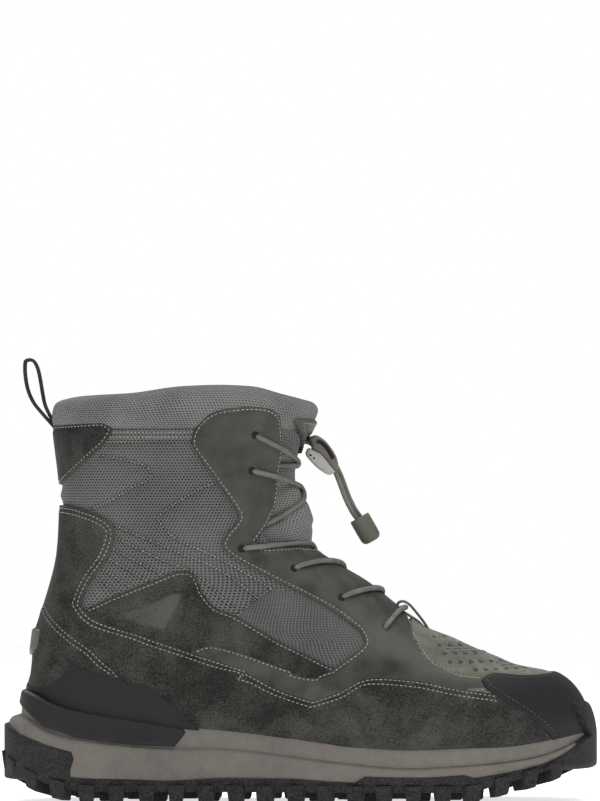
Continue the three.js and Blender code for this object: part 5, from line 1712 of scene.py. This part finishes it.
def make_shield_seam():
    """The row of stitches just inside the shield's edge."""
    levels, edges = np.array([0.85, 0.856, 0.88, 0.905, 0.921]), [0.507, 0.504, 0.4985, 0.491, 0.487]
    reaches = shield_reach(edges, levels) * 0.84
    ways = [(math.pi - reaches, levels), (np.linspace(-1, 1, 9) * reaches[-1] + math.pi, np.full(9, 0.9205))]
    bm = bmesh.new()
    for angles, heights_up in ways + [(math.pi + reaches, levels)]:
        line = evenly(np.stack([angles, heights_up * HEIGHT], -1), 1 * MM)
        out = under_shield(line[:, 1] / HEIGHT) + SHIELD_THICKNESS
        add_stitches(bm, line, out, size=(1.4, 0.5, 0.5), pitch=1.9 * MM)
    return finish_piece("stitches_shield", bm, THREAD)


make_shield_seam()

LOCK_SHELL = [
    [[0.515, 0.879], [0.527, 0.885], [0.541, 0.874], [0.552, 0.856], [0.561, 0.835], [0.565, 0.816]],
    [[0.564, 0.804], [0.559, 0.799], [0.547, 0.818], [0.534, 0.839], [0.52, 0.852]],
]
LOCK_BASE = [
    [[0.5095, 0.841], [0.5135, 0.853], [0.5215, 0.8515], [0.537, 0.8405], [0.5505, 0.8175], [0.5605, 0.797]],
    [[0.55, 0.788], [0.535, 0.799], [0.521, 0.817], [0.511, 0.834]],
]


def pillow(name, outline, width, power, cloth, nodes):
    """A rounded block whose side view is an outline."""
    line = side_line(outline, step=0.7 * MM)
    middle = line.mean(0)
    bm = grid(len(line), 24)
    drawn = coordinates(bm)
    n = np.rint(drawn[:, 0] * len(line)).astype(int) % len(line)
    lean = (drawn[:, 1] - 0.5) * math.pi
    shrink = np.abs(np.cos(lean)) ** power
    y = np.sign(lean) * np.abs(np.sin(lean)) ** power * width / 2
    flat = middle + (line[n] - middle) * shrink[:, None]
    place_all(bm, np.stack([flat[:, 0], y, flat[:, 1]], -1) + ORIGIN)
    close_up(bm)
    return finish_piece(name, bm, cloth, nodes, crease=40)


SLOT = [[0.529, 0.871], [0.539, 0.8625], [0.548, 0.847], [0.5555, 0.8275]]
BASE_DOTS = [[0.5185, 0.836], [0.5245, 0.829]]


def make_lock_marks():
    """The cord's slot in both sides of the lock's cover, a dark bar that paints the shade inside the slot, and
    the two small dark dots on its foot.
    """
    bm = bmesh.new()
    for side in (-1, 1):
        path = np.array([side_place(place, side * (LOCK_WIDTH / 2 - 0.35 * MM)) for place in SLOT])
        sweep(smooth_path(path, 0.8 * MM), 2.5 * MM, 1.0 * MM, side=[0.5, 0, 0.8], bm=bm)
        for place in BASE_DOTS:
            middle = Vector(side_place(place, side * (LOCK_WIDTH / 2 - 1 * MM)) + ORIGIN)
            bmesh.ops.create_icosphere(bm, subdivisions=2, radius=0.75 * MM, matrix=Matrix.Translation(middle))
    return finish_piece("lock_marks", bm, HOLE_SHADE)


LOCK_WIDTH = 15 * MM
make_lock_marks()
lock_shell = pillow("lock_cover", LOCK_SHELL, LOCK_WIDTH, 0.42, LOCK_PLASTIC, ["lock_shell"])
lock_base = pillow(
    "lock_foot", LOCK_BASE, LOCK_WIDTH - 1 * MM, 0.35, BASE_PLASTIC, ["lock_base"]
)

END_LENGTH = 14 * MM
END_WIDTH = 10.6 * MM
CORD_END_TOP, CORD_END_FOOT = [0.6, 0.6855], [0.6215, 0.6315]
CORD_END_PROFILE = [  # radius and way down, shares of END_WIDTH and END_LENGTH
    [0, 0.16], [0.3, 0.15], [0.36, 0.1], [0.4, 0.01], [0.46, 0.0], [0.5, 0.06], [0.505, 0.3],
    [0.5, 0.7], [0.47, 0.87], [0.36, 0.97], [0.18, 1.0], [0, 1.0],
]


def make_cord_end():
    """The cup that holds the lace's two ends."""
    top, foot = side_place(CORD_END_TOP), side_place(CORD_END_FOOT)
    down = unit(foot - top)
    across = np.array([0.0, 1.0, 0.0])
    ahead = np.cross(across, down)
    bm = grid(32, 44)
    drawn = coordinates(bm)
    turn = drawn[:, 0] * 2 * math.pi
    profile = through(CORD_END_PROFILE, drawn[:, 1])
    radius, way = np.maximum(profile[:, 0], 0) * END_WIDTH, profile[:, 1] * END_LENGTH
    points = top + down * way[:, None] + across * (radius * np.sin(turn))[:, None]
    place_all(bm, points + ahead * (radius * np.cos(turn))[:, None] + ORIGIN)
    close_up(bm)
    return finish_piece("cord_end_cup", bm, END_PLASTIC, ["cord_end"])


cord_end = make_cord_end()

# The lace's two ends: out of the tongue's shield, through the lock and down to the cup
END_ROUTE = [
    [0.503, 0.873], [0.509, 0.874], [0.518, 0.871], [0.528, 0.861], [0.54, 0.845], [0.552, 0.824],
    [0.563, 0.7962], [0.571, 0.768], [0.5795, 0.735], [0.59, 0.704], [0.5985, 0.6862], [0.602, 0.677],
]
CORD_SPREAD = 1.7 * MM  # half the distance between the two ends, middle to middle


def make_lace_end(name, side, node_name):
    """One end of the lace, drawn along its route."""
    knots = np.array([side_place(place, side * CORD_SPREAD * 0.8) for place in END_ROUTE])
    along = unit(np.gradient(knots, axis=0))
    knots += np.cross(along, [0, 1, 0]) * side * CORD_SPREAD * 0.55
    bm = sweep(smooth_path(knots, 0.8 * MM), LACE, LACE, around=12)
    made = finish_piece(name, bm, CORD, [node_name])


make_lace_end("lace_tail_outer", -1, "lace_end_a")
make_lace_end("lace_tail_inner", 1, "lace_end_b")


def make_light(name, place, size, power):
    data = bpy.data.lights.new(name, "AREA")
    data.shape = "RECTANGLE"
    data.size, data.size_y = size
    data.energy = power
    light = bpy.data.objects.new(name, data)
    light.location = place
    light.rotation_euler = (Vector((0, 0, 0.1)) - light.location).to_track_quat("-Z", "Y").to_euler()
    bpy.context.scene.collection.objects.link(light)


def make_studio():
    """A pale seamless floor under soft light from above, in front and behind."""
    floor_finish = finish("pale_floor", (0.86, 0.86, 0.86), (0.94, 0.94, 0.94), 0.75, [(clouds(3), 0.4, 0, 0)])
    bpy.ops.mesh.primitive_plane_add(size=8)
    floor = bpy.context.object
    floor.name = "floor"
    shader = floor_finish.node_tree.nodes["Principled BSDF"]
    shader.inputs["Emission Color"].default_value = (1, 1, 1, 1)
    shader.inputs["Emission Strength"].default_value = 0.7
    floor.data.materials.append(floor_finish)
    world = bpy.data.worlds.new("studio")
    bpy.context.scene.world = world
    world.use_nodes = True
    background = world.node_tree.nodes["Background"]
    background.inputs["Color"].default_value = (1, 1, 1, 1)
    seen = world.node_tree.nodes.new("ShaderNodeLightPath")
    strength = world.node_tree.nodes.new("ShaderNodeMapRange")
    strength.inputs["To Min"].default_value = 0.3
    strength.inputs["To Max"].default_value = 1.0
    world.node_tree.links.new(seen.outputs["Is Camera Ray"], strength.inputs["Value"])
    world.node_tree.links.new(strength.outputs[0], background.inputs["Strength"])
    make_light("key", (0.45, -0.8, 1.15), (0.7, 0.5), 8)
    make_light("top", (0.05, 0.1, 1.4), (1.2, 0.8), 14)
    make_light("side", (-0.9, -0.9, 0.6), (0.6, 0.8), 3)
    make_light("back", (-0.5, 0.9, 0.9), (0.6, 0.6), 5)
    bpy.context.scene.view_settings.view_transform = "Standard"


make_studio()
